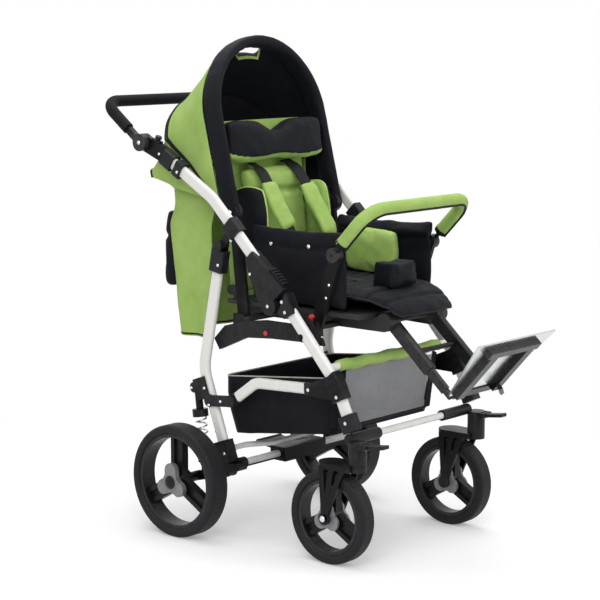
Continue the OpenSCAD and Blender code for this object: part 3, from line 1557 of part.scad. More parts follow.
slot_w = 70;
slot_h = 14;
module hood_bow() {
    bow_in_x = hood_half - rim_pad/2;
    color("black") difference() {
        union() {
            translate([0, hood_p[0], hood_p[1]]) rotate([90 - hood_slope, 0, 0])
                run([[-hood_half, 0], [-hood_half, hood_h], [hood_half, hood_h], [hood_half, 0]],
                    hood_half - gap)
                    rounded(rim_pad, rim_band, rim_pad*0.45);
            pair() bar_x(hood_p, rim_band/2, bow_in_x, hood_out_x);
        }
        pair() bar_x(hood_p, pin_r + run_gap, bow_in_x - cut, hood_out_x + cut);
        translate([0, hood_p[0], hood_p[1]]) rotate([-hood_slope, 0, 0])
            translate([-slot_w/2, -slot_h/2, hood_h - rim_pad]) cube([slot_w, slot_h, 2*rim_pad]);
    }
}

// Bumper bar

bumper_x = post_x + post_t + gap + bumper_joint_t/2;
module bumper_plane() {
    translate([0, bumper_p[0], bumper_p[1]]) rotate([180 - bumper_slope, 0, 0]) children();
}
bumper_cover_from = 34;
module bumper_bar() {
    color("black") difference() {
        union() {
            bumper_plane() run([[-bumper_x, 0], [-bumper_x, bumper_reach], [bumper_x, bumper_reach],
                [bumper_x, 0]], bumper_bend)
                circle(bumper_joint_t/2 - gap);
            pair() bar_x(bumper_p, post_w/2, bumper_x - bumper_joint_t/2, bumper_x + bumper_joint_t/2);
        }
        pair() bar_x(bumper_p, pin_r + run_gap, bumper_x - bumper_joint_t, bumper_x + bumper_joint_t);
    }
}

module bumper_cover() {
    path = [[-bumper_x, bumper_cover_from], [-bumper_x, bumper_reach], [bumper_x, bumper_reach],
        [bumper_x, bumper_cover_from]];
    color("yellowgreen") difference() {
        bumper_plane() run(path, bumper_bend) circle(bumper_pad_r);
        bumper_plane() run(path, bumper_bend) circle(bumper_joint_t/2 - gap);
    }
}

// Legrest, drawn in the side plane along its slope

legrest_bar_share = 0.62;
legrest_bar_r = 6;
module legrest_frame() {
    bar_p = legrest_p + legrest_dir*legrest_l*legrest_bar_share;
    color("black") difference() {
        union() {
            pair() {
                plate(legrest_x - legrest_w/2, legrest_x + legrest_w/2) {
                    disc_at(legrest_p, legrest_disc_r);
                    strip(legrest_p, legrest_p + legrest_dir*legrest_l, legrest_d);
                }
            }
            bar_x(bar_p, legrest_bar_r, -legrest_x, legrest_x);
        }
        pair() bar_x(legrest_p, pin_r + run_gap, 0, legrest_x + legrest_w);
        pair() plate(legrest_x - legrest_w/2 + legrest_wall, legrest_x + legrest_w/2 - legrest_wall)
            strip(legrest_p + legrest_dir*legrest_l*0.74, legrest_p + legrest_dir*(legrest_l + cut),
                legrest_d - 2*legrest_wall);
    }
}

inner_gap = 0.3;
heel_r = 9;
module foot_tubes() {
    d = legrest_d - 2*legrest_wall - 2*inner_gap;
    w = legrest_w - 2*legrest_wall - 2*inner_gap;
    from = legrest_p + legrest_dir*(legrest_l*0.74 + cut);
    color("black") {
        pair() plate(legrest_x - w/2, legrest_x + w/2) {
            strip(from, heel_p - legrest_dir*2*heel_r, d);
            strip(heel_p - legrest_dir*3*heel_r, heel_p, 1.4*heel_r);
            disc_at(heel_p, heel_r*0.7);
        }
        bar_x(heel_p, pin_r, -legrest_x - w/2, legrest_x + w/2);
    }
}

// The footplate lies square to the legrest; its frame hangs below it
module footplate() {
    color("silver") foot_sheet() linear_extrude(foot_t) polygon([[-foot_heel_w/2, heel_r],
        [foot_heel_w/2, heel_r],
        [foot_toe_w/2, foot_l], [-foot_toe_w/2, foot_l]]);
}
// Local x across, y from heel to toe, z down through the plate
module foot_sheet() {
    translate([0, heel_p[0], heel_p[1]]) rotate([heading(plate_dir), 0, 0]) children();
}

rail_places = [-0.36, 0.36];
lever_l = 40;
module footplate_frame() {
    color("black") difference() {
        foot_sheet() union() {
            for (s = rail_places) translate([s*foot_heel_w - foot_rail_w/2, heel_r, foot_t])
                cube([foot_rail_w, foot_l - 3*heel_r, foot_rail_h]);
            translate([-foot_heel_w/2, foot_l - 4*heel_r, foot_t]) cube([foot_heel_w, 2*heel_r,
                foot_rail_h]);
            translate([-foot_hinge_half, 0, 0]) rotate([0, 90, 0]) cylinder(r = heel_r*0.8,
                h = 2*foot_hinge_half);
            translate([-foot_hinge_half, 0, foot_t]) cube([2*foot_hinge_half, 2*heel_r, heel_r*0.3]);
            translate([rail_places[1]*foot_heel_w, 2*heel_r, foot_t + foot_rail_h]) rotate([0, 0, -40])
                cube([lever_l, heel_r, foot_rail_h/2]);
        }
        bar_x(heel_p, pin_r + run_gap, -legrest_x, legrest_x);
    }
}
foot_hinge_half = legrest_x - legrest_w/2 - gap;

// Everything stands on the ground with the middle of its length over the origin
module placed() {
    translate([0, -mid_y, 0]) children();
}

placed() front_legs();
placed() leg_castings();
placed() cross_tubes();
placed() cross_tube_sleeve();
placed() seat_plates();
placed() seat_base();
placed() seat_pad();
placed() side_panels();
placed() hip_pads();
placed() pommel();
placed() basket();
placed() basket_mesh();
placed() hood_fabric();
placed() back_cover();
placed() rear_pocket();
placed() chassis_rivets();
placed() seat_latches();
placed() upper_tubes();
placed() upper_fittings();
placed() fold_catches();
placed() handle_tube();
placed() handle_grip();
placed() angle_buttons();
placed() rear_legs();
placed() rear_fittings();
placed() brake_housing();
placed() shock_springs();
placed() brake_pedal();
placed() side_links();
placed() link_eyes();
placed() swing_arm(1);  // swing_arm_l
placed() swing_arm(-1);  // swing_arm_r
placed() rear_tyre(1);  // rear_tyre_l
placed() rear_tyre(-1);  // rear_tyre_r
placed() rear_rim(1);  // rear_rim_l
placed() rear_rim(-1);  // rear_rim_r
placed() rear_cap(1);  // rear_cap_l
placed() rear_cap(-1);  // rear_cap_r
placed() caster_fork(1);  // caster_fork_l
placed() caster_fork(-1);  // caster_fork_r
placed() front_tyre(1);  // front_tyre_l
placed() front_tyre(-1);  // front_tyre_r
placed() front_rim(1);  // front_rim_l
placed() front_rim(-1);  // front_rim_r
placed() front_cap(1);  // front_cap_l
placed() front_cap(-1);  // front_cap_r
placed() swivel_lock(1);  // swivel_lock_l
placed() swivel_lock(-1);  // swivel_lock_r
placed() back_board();
placed() back_cushion();
placed() trunk_supports();
placed() harness();
placed() headrest();
placed() hood_bow();
placed() bumper_bar();
placed() bumper_cover();
placed() legrest_frame();
placed() foot_tubes();
placed() footplate();
placed() footplate_frame();
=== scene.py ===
# Special needs buggy: cloth, padding, trim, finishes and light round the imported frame
from functools import lru_cache
from math import cos, exp, pi, radians, sin, sqrt, tan

import bpy
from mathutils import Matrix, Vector, noise


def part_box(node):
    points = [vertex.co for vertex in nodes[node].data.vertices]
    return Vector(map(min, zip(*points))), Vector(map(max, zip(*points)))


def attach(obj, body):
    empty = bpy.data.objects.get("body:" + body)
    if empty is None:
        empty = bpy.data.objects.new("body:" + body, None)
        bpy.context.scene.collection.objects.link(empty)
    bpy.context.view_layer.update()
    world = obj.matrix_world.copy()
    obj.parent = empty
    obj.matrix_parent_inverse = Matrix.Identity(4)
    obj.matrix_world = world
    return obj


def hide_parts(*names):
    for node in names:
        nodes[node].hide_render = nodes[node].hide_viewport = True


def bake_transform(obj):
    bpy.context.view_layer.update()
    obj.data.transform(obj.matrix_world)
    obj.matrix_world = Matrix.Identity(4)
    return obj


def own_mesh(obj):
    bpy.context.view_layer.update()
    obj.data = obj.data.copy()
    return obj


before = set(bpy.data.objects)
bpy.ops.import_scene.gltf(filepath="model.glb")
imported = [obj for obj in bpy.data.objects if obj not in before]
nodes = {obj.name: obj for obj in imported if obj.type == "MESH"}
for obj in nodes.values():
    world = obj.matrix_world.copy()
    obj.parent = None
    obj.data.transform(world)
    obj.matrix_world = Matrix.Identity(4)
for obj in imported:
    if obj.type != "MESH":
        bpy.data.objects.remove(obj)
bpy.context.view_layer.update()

axleY = 0.225728    # the rear axle, from which each y below is measured
pair = ((-1, "R"), (1, "L"))
scene = bpy.context.scene


def newObject(name, data):
    made = bpy.data.objects.new(name, data)
    scene.collection.objects.link(made)
    return made


def aim(item, direction):
    item.rotation_euler = direction.to_track_quat("-Z", "Y").to_euler()


print("stage: camera")
shot = {"place": (-3.375, -2.8323, 1.221), "turn": -49.05, "tilt": 8.57, "lens": 112.3}
cameraData = bpy.data.cameras.new("camera")
cameraData.lens = shot["lens"]
cameraData.sensor_width = 36
cameraData.clip_end = 100
camera = newObject("camera", cameraData)
camera.location = shot["place"]
turn, tilt = radians(shot["turn"]), radians(shot["tilt"])
aim(camera, Vector((-sin(turn) * cos(tilt), cos(turn) * cos(tilt), -sin(tilt))))
scene.camera = camera
scene.view_settings.view_transform = "Standard"


def mix(a, b, t):
    return a + (b - a) * t


def share(u):
    return (u + 1) / 2


def ease(k):
    return k * k * (3 - 2 * k)


def bulge(t, power):
    return sqrt(max(0.0, 1 - abs(t) ** power))


def near(distance, width):
    return exp(-((distance / width) ** 2))


def signedPower(value, power):
    return abs(value) ** power * (1 if value > 0 else -1)


def at(x, y, z):
    return Vector((x, y + axleY, z))


def leaning(origin, angle, x, y, z):
    a = radians(angle)
    return at(x, origin[0] + y * cos(a) + z * sin(a), origin[1] - y * sin(a) + z * cos(a))


def ripple(point, scale, seed):
    return noise.noise(Vector(point) * scale + Vector((seed, seed * 2, -seed)))


def tubeRipple(a, t, along, around=1):
    return noise.noise(Vector((t * along, cos(a) * around, sin(a) * around)))


# A socket takes another node's output, a number, or a colour as three numbers

def setSockets(tree, made, sockets):
    for key, value in sockets.items():
        if isinstance(value, bpy.types.NodeSocket):
            tree.links.new(value, made.inputs[key])
        else:
            made.inputs[key].default_value = (*value, 1) if isinstance(value, tuple) else value


def addNode(tree, kind, sockets=None, **settings):
    made = tree.nodes.new("ShaderNode" + kind)
    for key, value in settings.items():
        setattr(made, key, value)
    setSockets(tree, made, sockets or {})
    return made.outputs


def mathNode(tree, operation, *values):
    return addNode(tree, "Math", dict(enumerate(values)), operation=operation)[0]


def rampNode(tree, *values):
    return addNode(tree, "MapRange", dict(enumerate(values)))[0]


def mixColour(tree, factor, first, second):
    return addNode(tree, "Mix", {0: factor, 6: first, 7: second}, data_type="RGBA")[2]


def newGroup(name, inputs, outputs):
    group = bpy.data.node_groups.new(name, "ShaderNodeTree")
    for direction, sockets in (("INPUT", inputs), ("OUTPUT", outputs)):
        for socket, kind in sockets:
            group.interface.new_socket(name=socket, in_out=direction, socket_type="NodeSocket" + kind)
    return group, group.nodes.new("NodeGroupInput").outputs, group.nodes.new("NodeGroupOutput")


def useGroup(tree, group, sockets):
    return addNode(tree, "Group", sockets, node_tree=group)


def emptyTree(owner):
    owner.use_nodes = True
    owner.node_tree.nodes.clear()
    return owner.node_tree


def newFinish(name):
    material = bpy.data.materials.new(name)
    tree = emptyTree(material)
    shader = tree.nodes.new("ShaderNodeBsdfPrincipled")
    addNode(tree, "OutputMaterial", {"Surface": shader.outputs[0]})
    return material, tree, shader, addNode(tree, "TexCoord")["Object"]


# Threads that cross on every side of a cloth, with a slow change of tone
weave, given, ends = newGroup("weave", [("Vector", "Vector"), ("Threads", "Float")],
                              [("Height", "Float"), ("Tone", "Float")])
scaled = addNode(weave, "VectorMath", {0: given["Vector"], "Scale": given["Threads"]}, operation="SCALE")[0]
split = addNode(weave, "SeparateXYZ", {0: scaled})
waves = [mathNode(weave, "SINE", split[axis]) for axis in range(3)]
crossed = [mathNode(weave, "MULTIPLY", waves[a], waves[b]) for a, b in ((0, 2), (1, 2), (0, 1))]
total = mathNode(weave, "ADD", mathNode(weave, "ADD", crossed[0], crossed[1]), crossed[2])
slow = addNode(weave, "TexNoise", {"Vector": given["Vector"], "Scale": 14, "Detail": 5, "Roughness": 0.6})[0]
setSockets(weave, ends, {"Height": mathNode(weave, "MULTIPLY_ADD", total, 0.3, 0.5),
                         "Tone": mathNode(weave, "MULTIPLY_ADD", total, 0.14, slow)})

# Fine moulded grain
grain, given, ends = newGroup("grain", [("Vector", "Vector"), ("Scale", "Float")],
                              [("Height", "Float"), ("Tone", "Float")])
fine = addNode(grain, "TexVoronoi", {"Vector": given["Vector"], "Scale": given["Scale"]})["Distance"]
slow = addNode(grain, "TexNoise", {"Vector": given["Vector"], "Scale": 22, "Detail": 6})[0]
setSockets(grain, ends, {"Height": fine, "Tone": slow})

# Rubbed edges and settled dust
wear, given, ends = newGroup("wear", [("Vector", "Vector")], [("Edge", "Float"), ("Dust", "Float")])
shape = addNode(wear, "NewGeometry")
edge = rampNode(wear, shape["Pointiness"], 0.515, 0.58)
patch = addNode(wear, "TexNoise", {"Vector": given["Vector"], "Scale": 60, "Detail": 4})[0]
settled = rampNode(wear, addNode(wear, "SeparateXYZ", {0: shape["Normal"]})[2], 0.2, 1.0)
setSockets(wear, ends, {"Edge": mathNode(wear, "MULTIPLY", edge, patch),
                        "Dust": mathNode(wear, "MULTIPLY", settled, patch)})

clothUsual = {"threads": 2400, "crease": 40, "soft": 0.1, "relief": 0.4, "rough": 0.6, "shine": 0.22,
              "sheen": 0.04, "sheenTint": (0.7, 0.7, 0.8)}
mouldUsual = {"grain": 1500, "relief": 0.12, "edge": 0.4, "dust": 0.006, "metal": 0, "coat": 0, "shine": 0.5,
              "dustTint": (0.42, 0.41, 0.39)}


def clothFinish(name, special):
    look = {**clothUsual, **special}
    material, tree, shader, place = newFinish(name)
    threads = useGroup(tree, weave, {"Vector": place, "Threads": look["threads"]})
    crease = addNode(tree, "TexNoise", {"Vector": place, "Scale": look["crease"], "Detail": 3,
                                        "Distortion": 0.5})[0]
    soft = addNode(tree, "Bump", {"Height": crease, "Strength": look["soft"], "Distance": 0.006})[0]
    fine = addNode(tree, "Bump", {"Height": threads["Height"], "Strength": look["relief"], "Distance": 0.0006,
                                  "Normal": soft})[0]
    tone = rampNode(tree, threads["Tone"], 0.25, 0.75)
    setSockets(tree, shader, {
        "Base Color": mixColour(tree, tone, look["dark"], look["light"]), "Normal": fine,
        "Roughness": look["rough"], "Specular IOR Level": look["shine"], "Sheen Weight": look["sheen"],
        "Sheen Roughness": 0.45, "Sheen Tint": look["sheenTint"]})
    return material


def mouldFinish(name, special):
    look = {**mouldUsual, **special}
    material, tree, shader, place = newFinish(name)
    skin = useGroup(tree, grain, {"Vector": place, "Scale": look["grain"]})
    rubbed = useGroup(tree, wear, {"Vector": place})
    fine = addNode(tree, "Bump", {"Height": skin["Height"], "Strength": look["relief"],
                                  "Distance": 0.0004})[0]
    base = mixColour(tree, skin["Tone"], look["dark"], look["light"])
    edged = mixColour(tree, mathNode(tree, "MULTIPLY", rubbed["Edge"], look["edge"]), base, look["rubbed"])
    dusty = mixColour(tree, mathNode(tree, "MULTIPLY", rubbed["Dust"], look["dust"]), edged, look["dustTint"])
    setSockets(tree, shader, {
        "Base Color": dusty, "Roughness": rampNode(tree, skin["Tone"], 0.3, 0.7, *look["rough"]),
        "Normal": fine, "Metallic": look["metal"], "Coat Weight": look["coat"], "Coat Roughness": 0.15,
        "Specular IOR Level": look["shine"]})
    return material


tyre = {"dark": (0.007, 0.0073, 0.0088), "light": (0.013, 0.0134, 0.0155), "dust": 0.10,
        "dustTint": (0.30, 0.29, 0.27), "tread": 0.012, "top": 0.003}


def tyreFinish(name, centre, radius, blocks):
    material, tree, shader, place = newFinish(name)
    split = addNode(tree, "SeparateXYZ", {0: place})
    alongY = mathNode(tree, "SUBTRACT", split[1], centre[0])
    alongZ = mathNode(tree, "SUBTRACT", split[2], centre[1])
    reach = mathNode(tree, "SQRT", mathNode(tree, "ADD", mathNode(tree, "MULTIPLY", alongY, alongY),
                                            mathNode(tree, "MULTIPLY", alongZ, alongZ)))
    angle = mathNode(tree, "ARCTAN2", alongZ, alongY)
    ribs = mathNode(tree, "SINE", mathNode(tree, "MULTIPLY", angle, blocks))
    tread = rampNode(tree, reach, radius - tyre["tread"], radius - tyre["top"])
    raised = mathNode(tree, "MULTIPLY", rampNode(tree, ribs, -0.75, -0.45), tread)
    skin = useGroup(tree, grain, {"Vector": place, "Scale": 900})
    rubbed = useGroup(tree, wear, {"Vector": place})
    height = mathNode(tree, "MULTIPLY_ADD", skin["Height"], 0.12, raised)
    base = mixColour(tree, skin["Tone"], tyre["dark"], tyre["light"])
    dusty = mathNode(tree, "MULTIPLY", rubbed["Dust"], tyre["dust"])
    setSockets(tree, shader, {
        "Normal": addNode(tree, "Bump", {"Height": height, "Strength": 0.6, "Distance": 0.002})[0],
        "Base Color": mixColour(tree, dusty, base, tyre["dustTint"]), "Roughness": 0.62,
        "Specular IOR Level": 0.25})
    return material


def netFinish(name, look):
    material, tree, shader, place = newFinish(name)
    split = addNode(tree, "SeparateXYZ", {0: addNode(tree, "UVMap")[0]})
    strands = []
    for axis, count in ((0, look["across"]), (1, look["up"])):
        wave = mathNode(tree, "SINE", mathNode(tree, "MULTIPLY", split[axis], count * pi))
        strands.append(mathNode(tree, "LESS_THAN", mathNode(tree, "ABSOLUTE", wave), look["strand"]))
    slow = addNode(tree, "TexNoise", {"Vector": place, "Scale": 30})[0]
    setSockets(tree, shader, {
        "Alpha": mathNode(tree, "MAXIMUM", *strands), "Roughness": 0.7,
        "Base Color": mixColour(tree, slow, look["dark"], look["light"])})
    return material


greenCloth = clothFinish("greenCloth", {
    "dark": (0.29, 0.455, 0.105), "light": (0.41, 0.575, 0.165), "threads": 2600, "crease": 16, "soft": 0.35,
    "relief": 0.35, "rough": 0.84, "sheen": 0.12, "sheenTint": (0.8, 0.95, 0.6)})
blackCloth = clothFinish("blackCloth", {
    "dark": (0.0032, 0.0035, 0.0058), "light": (0.0075, 0.008, 0.0120), "threads": 2600, "crease": 18,
    "soft": 0.4, "rough": 0.62, "shine": 0.13, "sheenTint": (0.55, 0.6, 0.8)})
webbing = clothFinish("webbing", {
    "dark": (0.004, 0.004, 0.005), "light": (0.010, 0.010, 0.012), "threads": 1500, "crease": 20,
    "relief": 0.8, "sheen": 0.03})
blackPiping = clothFinish("blackPiping", {"dark": (0.004, 0.004, 0.005), "light": (0.008, 0.008, 0.010)})
palePiping = clothFinish("palePiping", {
    "dark": (0.42, 0.45, 0.36), "light": (0.60, 0.62, 0.55), "shine": 0.4, "sheen": 0.1,
    "sheenTint": (1, 1, 1)})
greenPiping = clothFinish("greenPiping", {
    "dark": (0.40, 0.60, 0.14), "light": (0.52, 0.72, 0.22), "shine": 0.35, "sheen": 0.1,
    "sheenTint": (0.9, 1, 0.7)})
foamBlack = mouldFinish("foamBlack", {
    "dark": (0.006, 0.006, 0.0065), "light": (0.011, 0.011, 0.012), "rubbed": (0.03, 0.03, 0.03),
    "grain": 620, "relief": 0.5, "edge": 0.2, "dust": 0.01, "rough": (0.7, 0.85), "shine": 0.15})
castingBlack = mouldFinish("castingBlack", {
    "dark": (0.0035, 0.0035, 0.0042), "light": (0.0065, 0.0065, 0.0075), "rubbed": (0.06, 0.06, 0.065),
    "relief": 0.22, "edge": 0.5, "rough": (0.28, 0.40), "shine": 0.15})
blackMetal = mouldFinish("blackMetal", {
    "dark": (0.005, 0.005, 0.0055), "light": (0.009, 0.009, 0.0095), "rubbed": (0.15, 0.15, 0.15),
    "grain": 2600, "relief": 0.10, "rough": (0.22, 0.34), "coat": 0.04, "shine": 0.16})
tubeWhite = mouldFinish("tubeWhite", {
    "dark": (0.80, 0.785, 0.755), "light": (0.86, 0.85, 0.825), "rubbed": (0.70, 0.68, 0.64), "grain": 2400,
    "relief": 0.06, "edge": 0.2, "dust": 0.03, "rough": (0.24, 0.36), "coat": 0.35})
rimBlack = mouldFinish("rimBlack", {
    "dark": (0.006, 0.006, 0.007), "light": (0.011, 0.011, 0.012), "rubbed": (0.12, 0.12, 0.12),
    "grain": 1800, "rough": (0.26, 0.38), "shine": 0.16})
hubGrey = mouldFinish("hubGrey", {
    "dark": (0.15, 0.153, 0.16), "light": (0.19, 0.193, 0.2), "rubbed": (0.4, 0.4, 0.41), "grain": 2000,
    "dust": 0.03, "rough": (0.34, 0.46), "metal": 0.3})
steel = mouldFinish("steel", {
    "dark": (0.62, 0.62, 0.63), "light": (0.76, 0.76, 0.77), "rubbed": (0.9, 0.9, 0.9), "relief": 0.08,
    "edge": 0.3, "dust": 0.0, "rough": (0.14, 0.28), "metal": 1})
aluminium = mouldFinish("aluminium", {
    "dark": (0.55, 0.56, 0.57), "light": (0.68, 0.69, 0.70), "rubbed": (0.85, 0.85, 0.85), "grain": 900,
    "relief": 0.10, "dust": 0.02, "rough": (0.16, 0.28), "metal": 1})
redPlastic = mouldFinish("redPlastic", {
    "dark": (0.55, 0.018, 0.015), "light": (0.66, 0.03, 0.022), "rubbed": (0.8, 0.2, 0.18), "relief": 0.1,
    "edge": 0.3, "dust": 0.02, "rough": (0.3, 0.42)})
boardBlack = mouldFinish("boardBlack", {
    "dark": (0.006, 0.006, 0.007), "light": (0.012, 0.012, 0.013), "rubbed": (0.05, 0.05, 0.05),
    "grain": 1200, "relief": 0.3, "edge": 0.2, "dust": 0.04, "rough": (0.5, 0.65)})
rearRubber = tyreFinish("rearRubber", (axleY, 0.135), 0.135, 72)
frontRubber = tyreFinish("frontRubber", (axleY - 0.421, 0.1085), 0.1085, 60)
meshNet = netFinish("meshNet", {"across": 110, "up": 60, "strand": 0.34, "dark": (0.60, 0.605, 0.62),
                                "light": (0.78, 0.785, 0.80)})

finishes = {
    tubeWhite: ["front_legs", "upper_tubes", "rear_legs", "side_links", "cross_tubes"],
    castingBlack: ["leg_castings", "upper_fittings", "rear_fittings", "fold_catches", "link_eyes",
                   "brake_housing", "brake_pedal", "swing_arm_l", "swing_arm_r", "caster_fork_l",
                   "caster_fork_r", "swivel_lock_l", "swivel_lock_r", "angle_buttons", "seat_plates"],
    blackMetal: ["handle_tube", "bumper_bar", "legrest_frame", "foot_tubes", "footplate_frame"],
    foamBlack: ["handle_grip"],
    rimBlack: ["rear_rim_l", "rear_rim_r", "front_rim_l", "front_rim_r"],
    hubGrey: ["rear_cap_l", "rear_cap_r", "front_cap_l", "front_cap_r"],
    rearRubber: ["rear_tyre_l", "rear_tyre_r"],
    frontRubber: ["front_tyre_l", "front_tyre_r"],
    steel: ["chassis_rivets", "shock_springs"],
    aluminium: ["footplate"],
    redPlastic: ["seat_latches"],
    greenCloth: ["back_board"],
    boardBlack: ["seat_base"]}


def paint(piece, *materials):
    piece.data.materials.clear()
    for material in materials:
        piece.data.materials.append(material)


for material, names in finishes.items():
    for name in names:
        paint(nodes[name], material)


# Modelling helpers

def setMode(mode):
    bpy.ops.object.mode_set(mode=mode)


def clearSelection():
    if bpy.context.object and bpy.context.object.mode != "OBJECT":
        setMode("OBJECT")
    bpy.ops.object.select_all(action="DESELECT")


def makeActive(piece):
    clearSelection()
    piece.select_set(True)
    bpy.context.view_layer.objects.active = piece


def applyModifier(piece, name, kind, **settings):
    makeActive(piece)
    modifier = piece.modifiers.new(name, kind)
    for key, value in settings.items():
        setattr(modifier, key, value)
    bpy.ops.object.modifier_apply(modifier=name)


def smooth(piece, angle=None):
    makeActive(piece)
    if angle:
        bpy.ops.object.shade_smooth_by_angle(angle=radians(angle))
    else:
        bpy.ops.object.shade_smooth()


def editAll(piece, step, **settings):
    makeActive(piece)
    setMode("EDIT")
    bpy.ops.mesh.select_all(action="SELECT")
    step(**settings)
    setMode("OBJECT")


def tidyMesh(piece, caps=False):
    editAll(piece, bpy.ops.mesh.remove_doubles, threshold=0.00005)
    if caps:
        editAll(piece, bpy.ops.mesh.fill_holes, sides=0)
    editAll(piece, bpy.ops.mesh.normals_make_consistent, inside=False)


def gridPiece(name, columns, rows, place):
    clearSelection()
    bpy.ops.mesh.primitive_grid_add(x_subdivisions=columns, y_subdivisions=rows, size=2)
    piece = bpy.context.object
    piece.name = name
    lines = {}
    for vertex in piece.data.vertices:
        u, v = vertex.co.x, vertex.co.y
        vertex.co = place(u, v)
        lines.setdefault(("row", round(v, 4)), []).append((u, vertex.co.copy()))
        lines.setdefault(("column", round(u, 4)), []).append((v, vertex.co.copy()))
    longest = {"row": 0, "column": 0}
    for (kind, key), found in lines.items():
        points = [point for step, point in sorted(found, key=lambda item: item[0])]
        longest[kind] = max(longest[kind], sum((b - a).length for a, b in zip(points, points[1:])))
    piece.data.update()
    return piece


def blockPiece(name, cuts, place):
    clearSelection()
    bpy.ops.mesh.primitive_cube_add(size=2)
    piece = bpy.context.object
    piece.name = name
    editAll(piece, bpy.ops.mesh.subdivide, number_cuts=cuts)
    for vertex in piece.data.vertices:
        vertex.co = place(*vertex.co)
    piece.data.update()
    tidyMesh(piece)
    return piece


def pipePiece(name, points, radius, closed=False):
    curve = bpy.data.curves.new(name, "CURVE")
    curve.dimensions = "3D"
    curve.bevel_depth = radius
    curve.bevel_resolution = 3
    curve.use_fill_caps = True
    line = curve.splines.new("POLY")
    line.points.add(len(points) - 1)
    for item, point in zip(line.points, points):
        item.co = (*point, 1)
    line.use_cyclic_u = closed
    makeActive(newObject(name, curve))
    bpy.ops.object.convert(target="MESH")
    piece = bpy.context.object
    tidyMesh(piece)
    smooth(piece)
    return piece


# Points along the sides of the square on which a piece is drawn
def edgePoints(place, corners, counts):
    line = []
    for (a, b), (c, d), count in zip(corners, corners[1:], counts):
        line += [place(mix(a, c, step / count), mix(b, d, step / count)) for step in range(count)]
    return line + [place(*corners[-1])]


def roundedRoute(corners, radius, steps):
    route = [Vector(corners[0])]
    for before, corner, after in zip(corners, corners[1:], corners[2:]):
        first = (Vector(before) - Vector(corner)).normalized()
        second = (Vector(after) - Vector(corner)).normalized()
        half = first.angle(second) / 2
        centre = Vector(corner) + (first + second).normalized() * radius / sin(half)
        start = Vector(corner) + first * radius / tan(half) - centre
        end = Vector(corner) + second * radius / tan(half) - centre
        for step in range(steps + 1):
            route.append(centre + start.slerp(end, step / steps).normalized() * radius)
    route.append(Vector(corners[-1]))
    return route


def evenly(line, count):
    reach = [0.0]
    for a, b in zip(line, line[1:]):
        reach.append(reach[-1] + (b - a).length)
    spaced, index = [], 0
    for step in range(count):
        goal = reach[-1] * step / (count - 1)
        while index < len(line) - 2 and reach[index + 1] < goal:
            index += 1
        span = reach[index + 1] - reach[index] or 1
        spaced.append(line[index].lerp(line[index + 1], (goal - reach[index]) / span))
    return spaced


def softRoute(points, count):
    line = [Vector(point) for point in points]
    for turn in range(3):
        cut = [line[0]]
        for a, b in zip(line, line[1:]):
            cut += [a.lerp(b, 0.25), a.lerp(b, 0.75)]
        line = cut + [line[-1]]
    return evenly(line, count)


def sweepPiece(name, route, normal, around, section):
    last = len(route) - 1

    def place(u, v):
        step = round(share(v) * last)
        ahead = route[min(step + 1, last)] - route[max(step - 1, 0)]
        across = ahead.cross(normal).normalized()
        side, lift = section(pi * (u + 1), step / last)
        return route[step] + across * side + normal * lift

    piece = gridPiece(name, around, last, place)
    tidyMesh(piece, caps=True)
    return piece


# A turned piece: pairs of height above the base and radius, on an axis along x
def latheX(name, base, profile, centre, side, steps=40):
    count = len(profile) - 1

    def place(u, v):
        a = pi * (u + 1)
        x, r = profile[round(share(v) * count)]
        return at(side * (base + x), centre[0] + r * cos(a), centre[1] + r * sin(a))

    piece = gridPiece(name, steps, count, place)
    tidyMesh(piece, caps=True)
    smooth(piece, 35)
    return piece


def onSurface(piece, points, lift):
    bpy.context.view_layer.update()
    placed = []
    for point in points:
        found, spot, facing, index = piece.closest_point_on_mesh(point)
        placed.append(spot + facing * lift)
    return placed


def pushOut(piece, amount):
    facing = [vertex.normal.copy() for vertex in piece.data.vertices]
    for vertex, normal in zip(piece.data.vertices, facing):
        vertex.co += normal * amount(vertex.co)
    piece.data.update()


def groove(piece, distance, depth, width):
    def sunk(point):
        away = distance(point)
        return 0 if away is None else -depth * near(away, width)

    pushOut(piece, sunk)


def rumple(piece, amount, scale, seed):
    pushOut(piece, lambda point: amount * ripple(point, scale, seed))


def joinPieces(name, pieces):
    clearSelection()
    for piece in pieces:
        piece.select_set(True)
    bpy.context.view_layer.objects.active = pieces[0]
    bpy.ops.object.join()
    pieces[0].name = name
    return pieces[0]


def thicken(piece, depth, inner=0):
    applyModifier(piece, "thicken", "SOLIDIFY", thickness=depth, offset=0, material_offset=inner,
                  use_even_offset=False)


# Pads are remeshed evenly, blown up as cloth by no more than their cap, then made finer
stuffed = []
blown = {"quality": 4, "mass": 0.25, "use_pressure": True, "uniform_pressure_force": 4,
         "tension_stiffness": 12, "compression_stiffness": 12, "bending_stiffness": 0.4}
blownFrames = 20


def stuff(piece, voxel, cap):
    applyModifier(piece, "even", "REMESH", mode="VOXEL", voxel_size=voxel)
    applyModifier(piece, "round", "SMOOTH", factor=0.5, iterations=6)
    stuffed.append((piece, cap))


def stuffedPair(name, cuts, place, voxel, cap):
    pieces = []
    for side, tag in pair:
        pieces.append(blockPiece(name + tag, cuts, lambda u, v, w: place(side, u, v, w)))
        stuff(pieces[-1], voxel, cap)
    return pieces


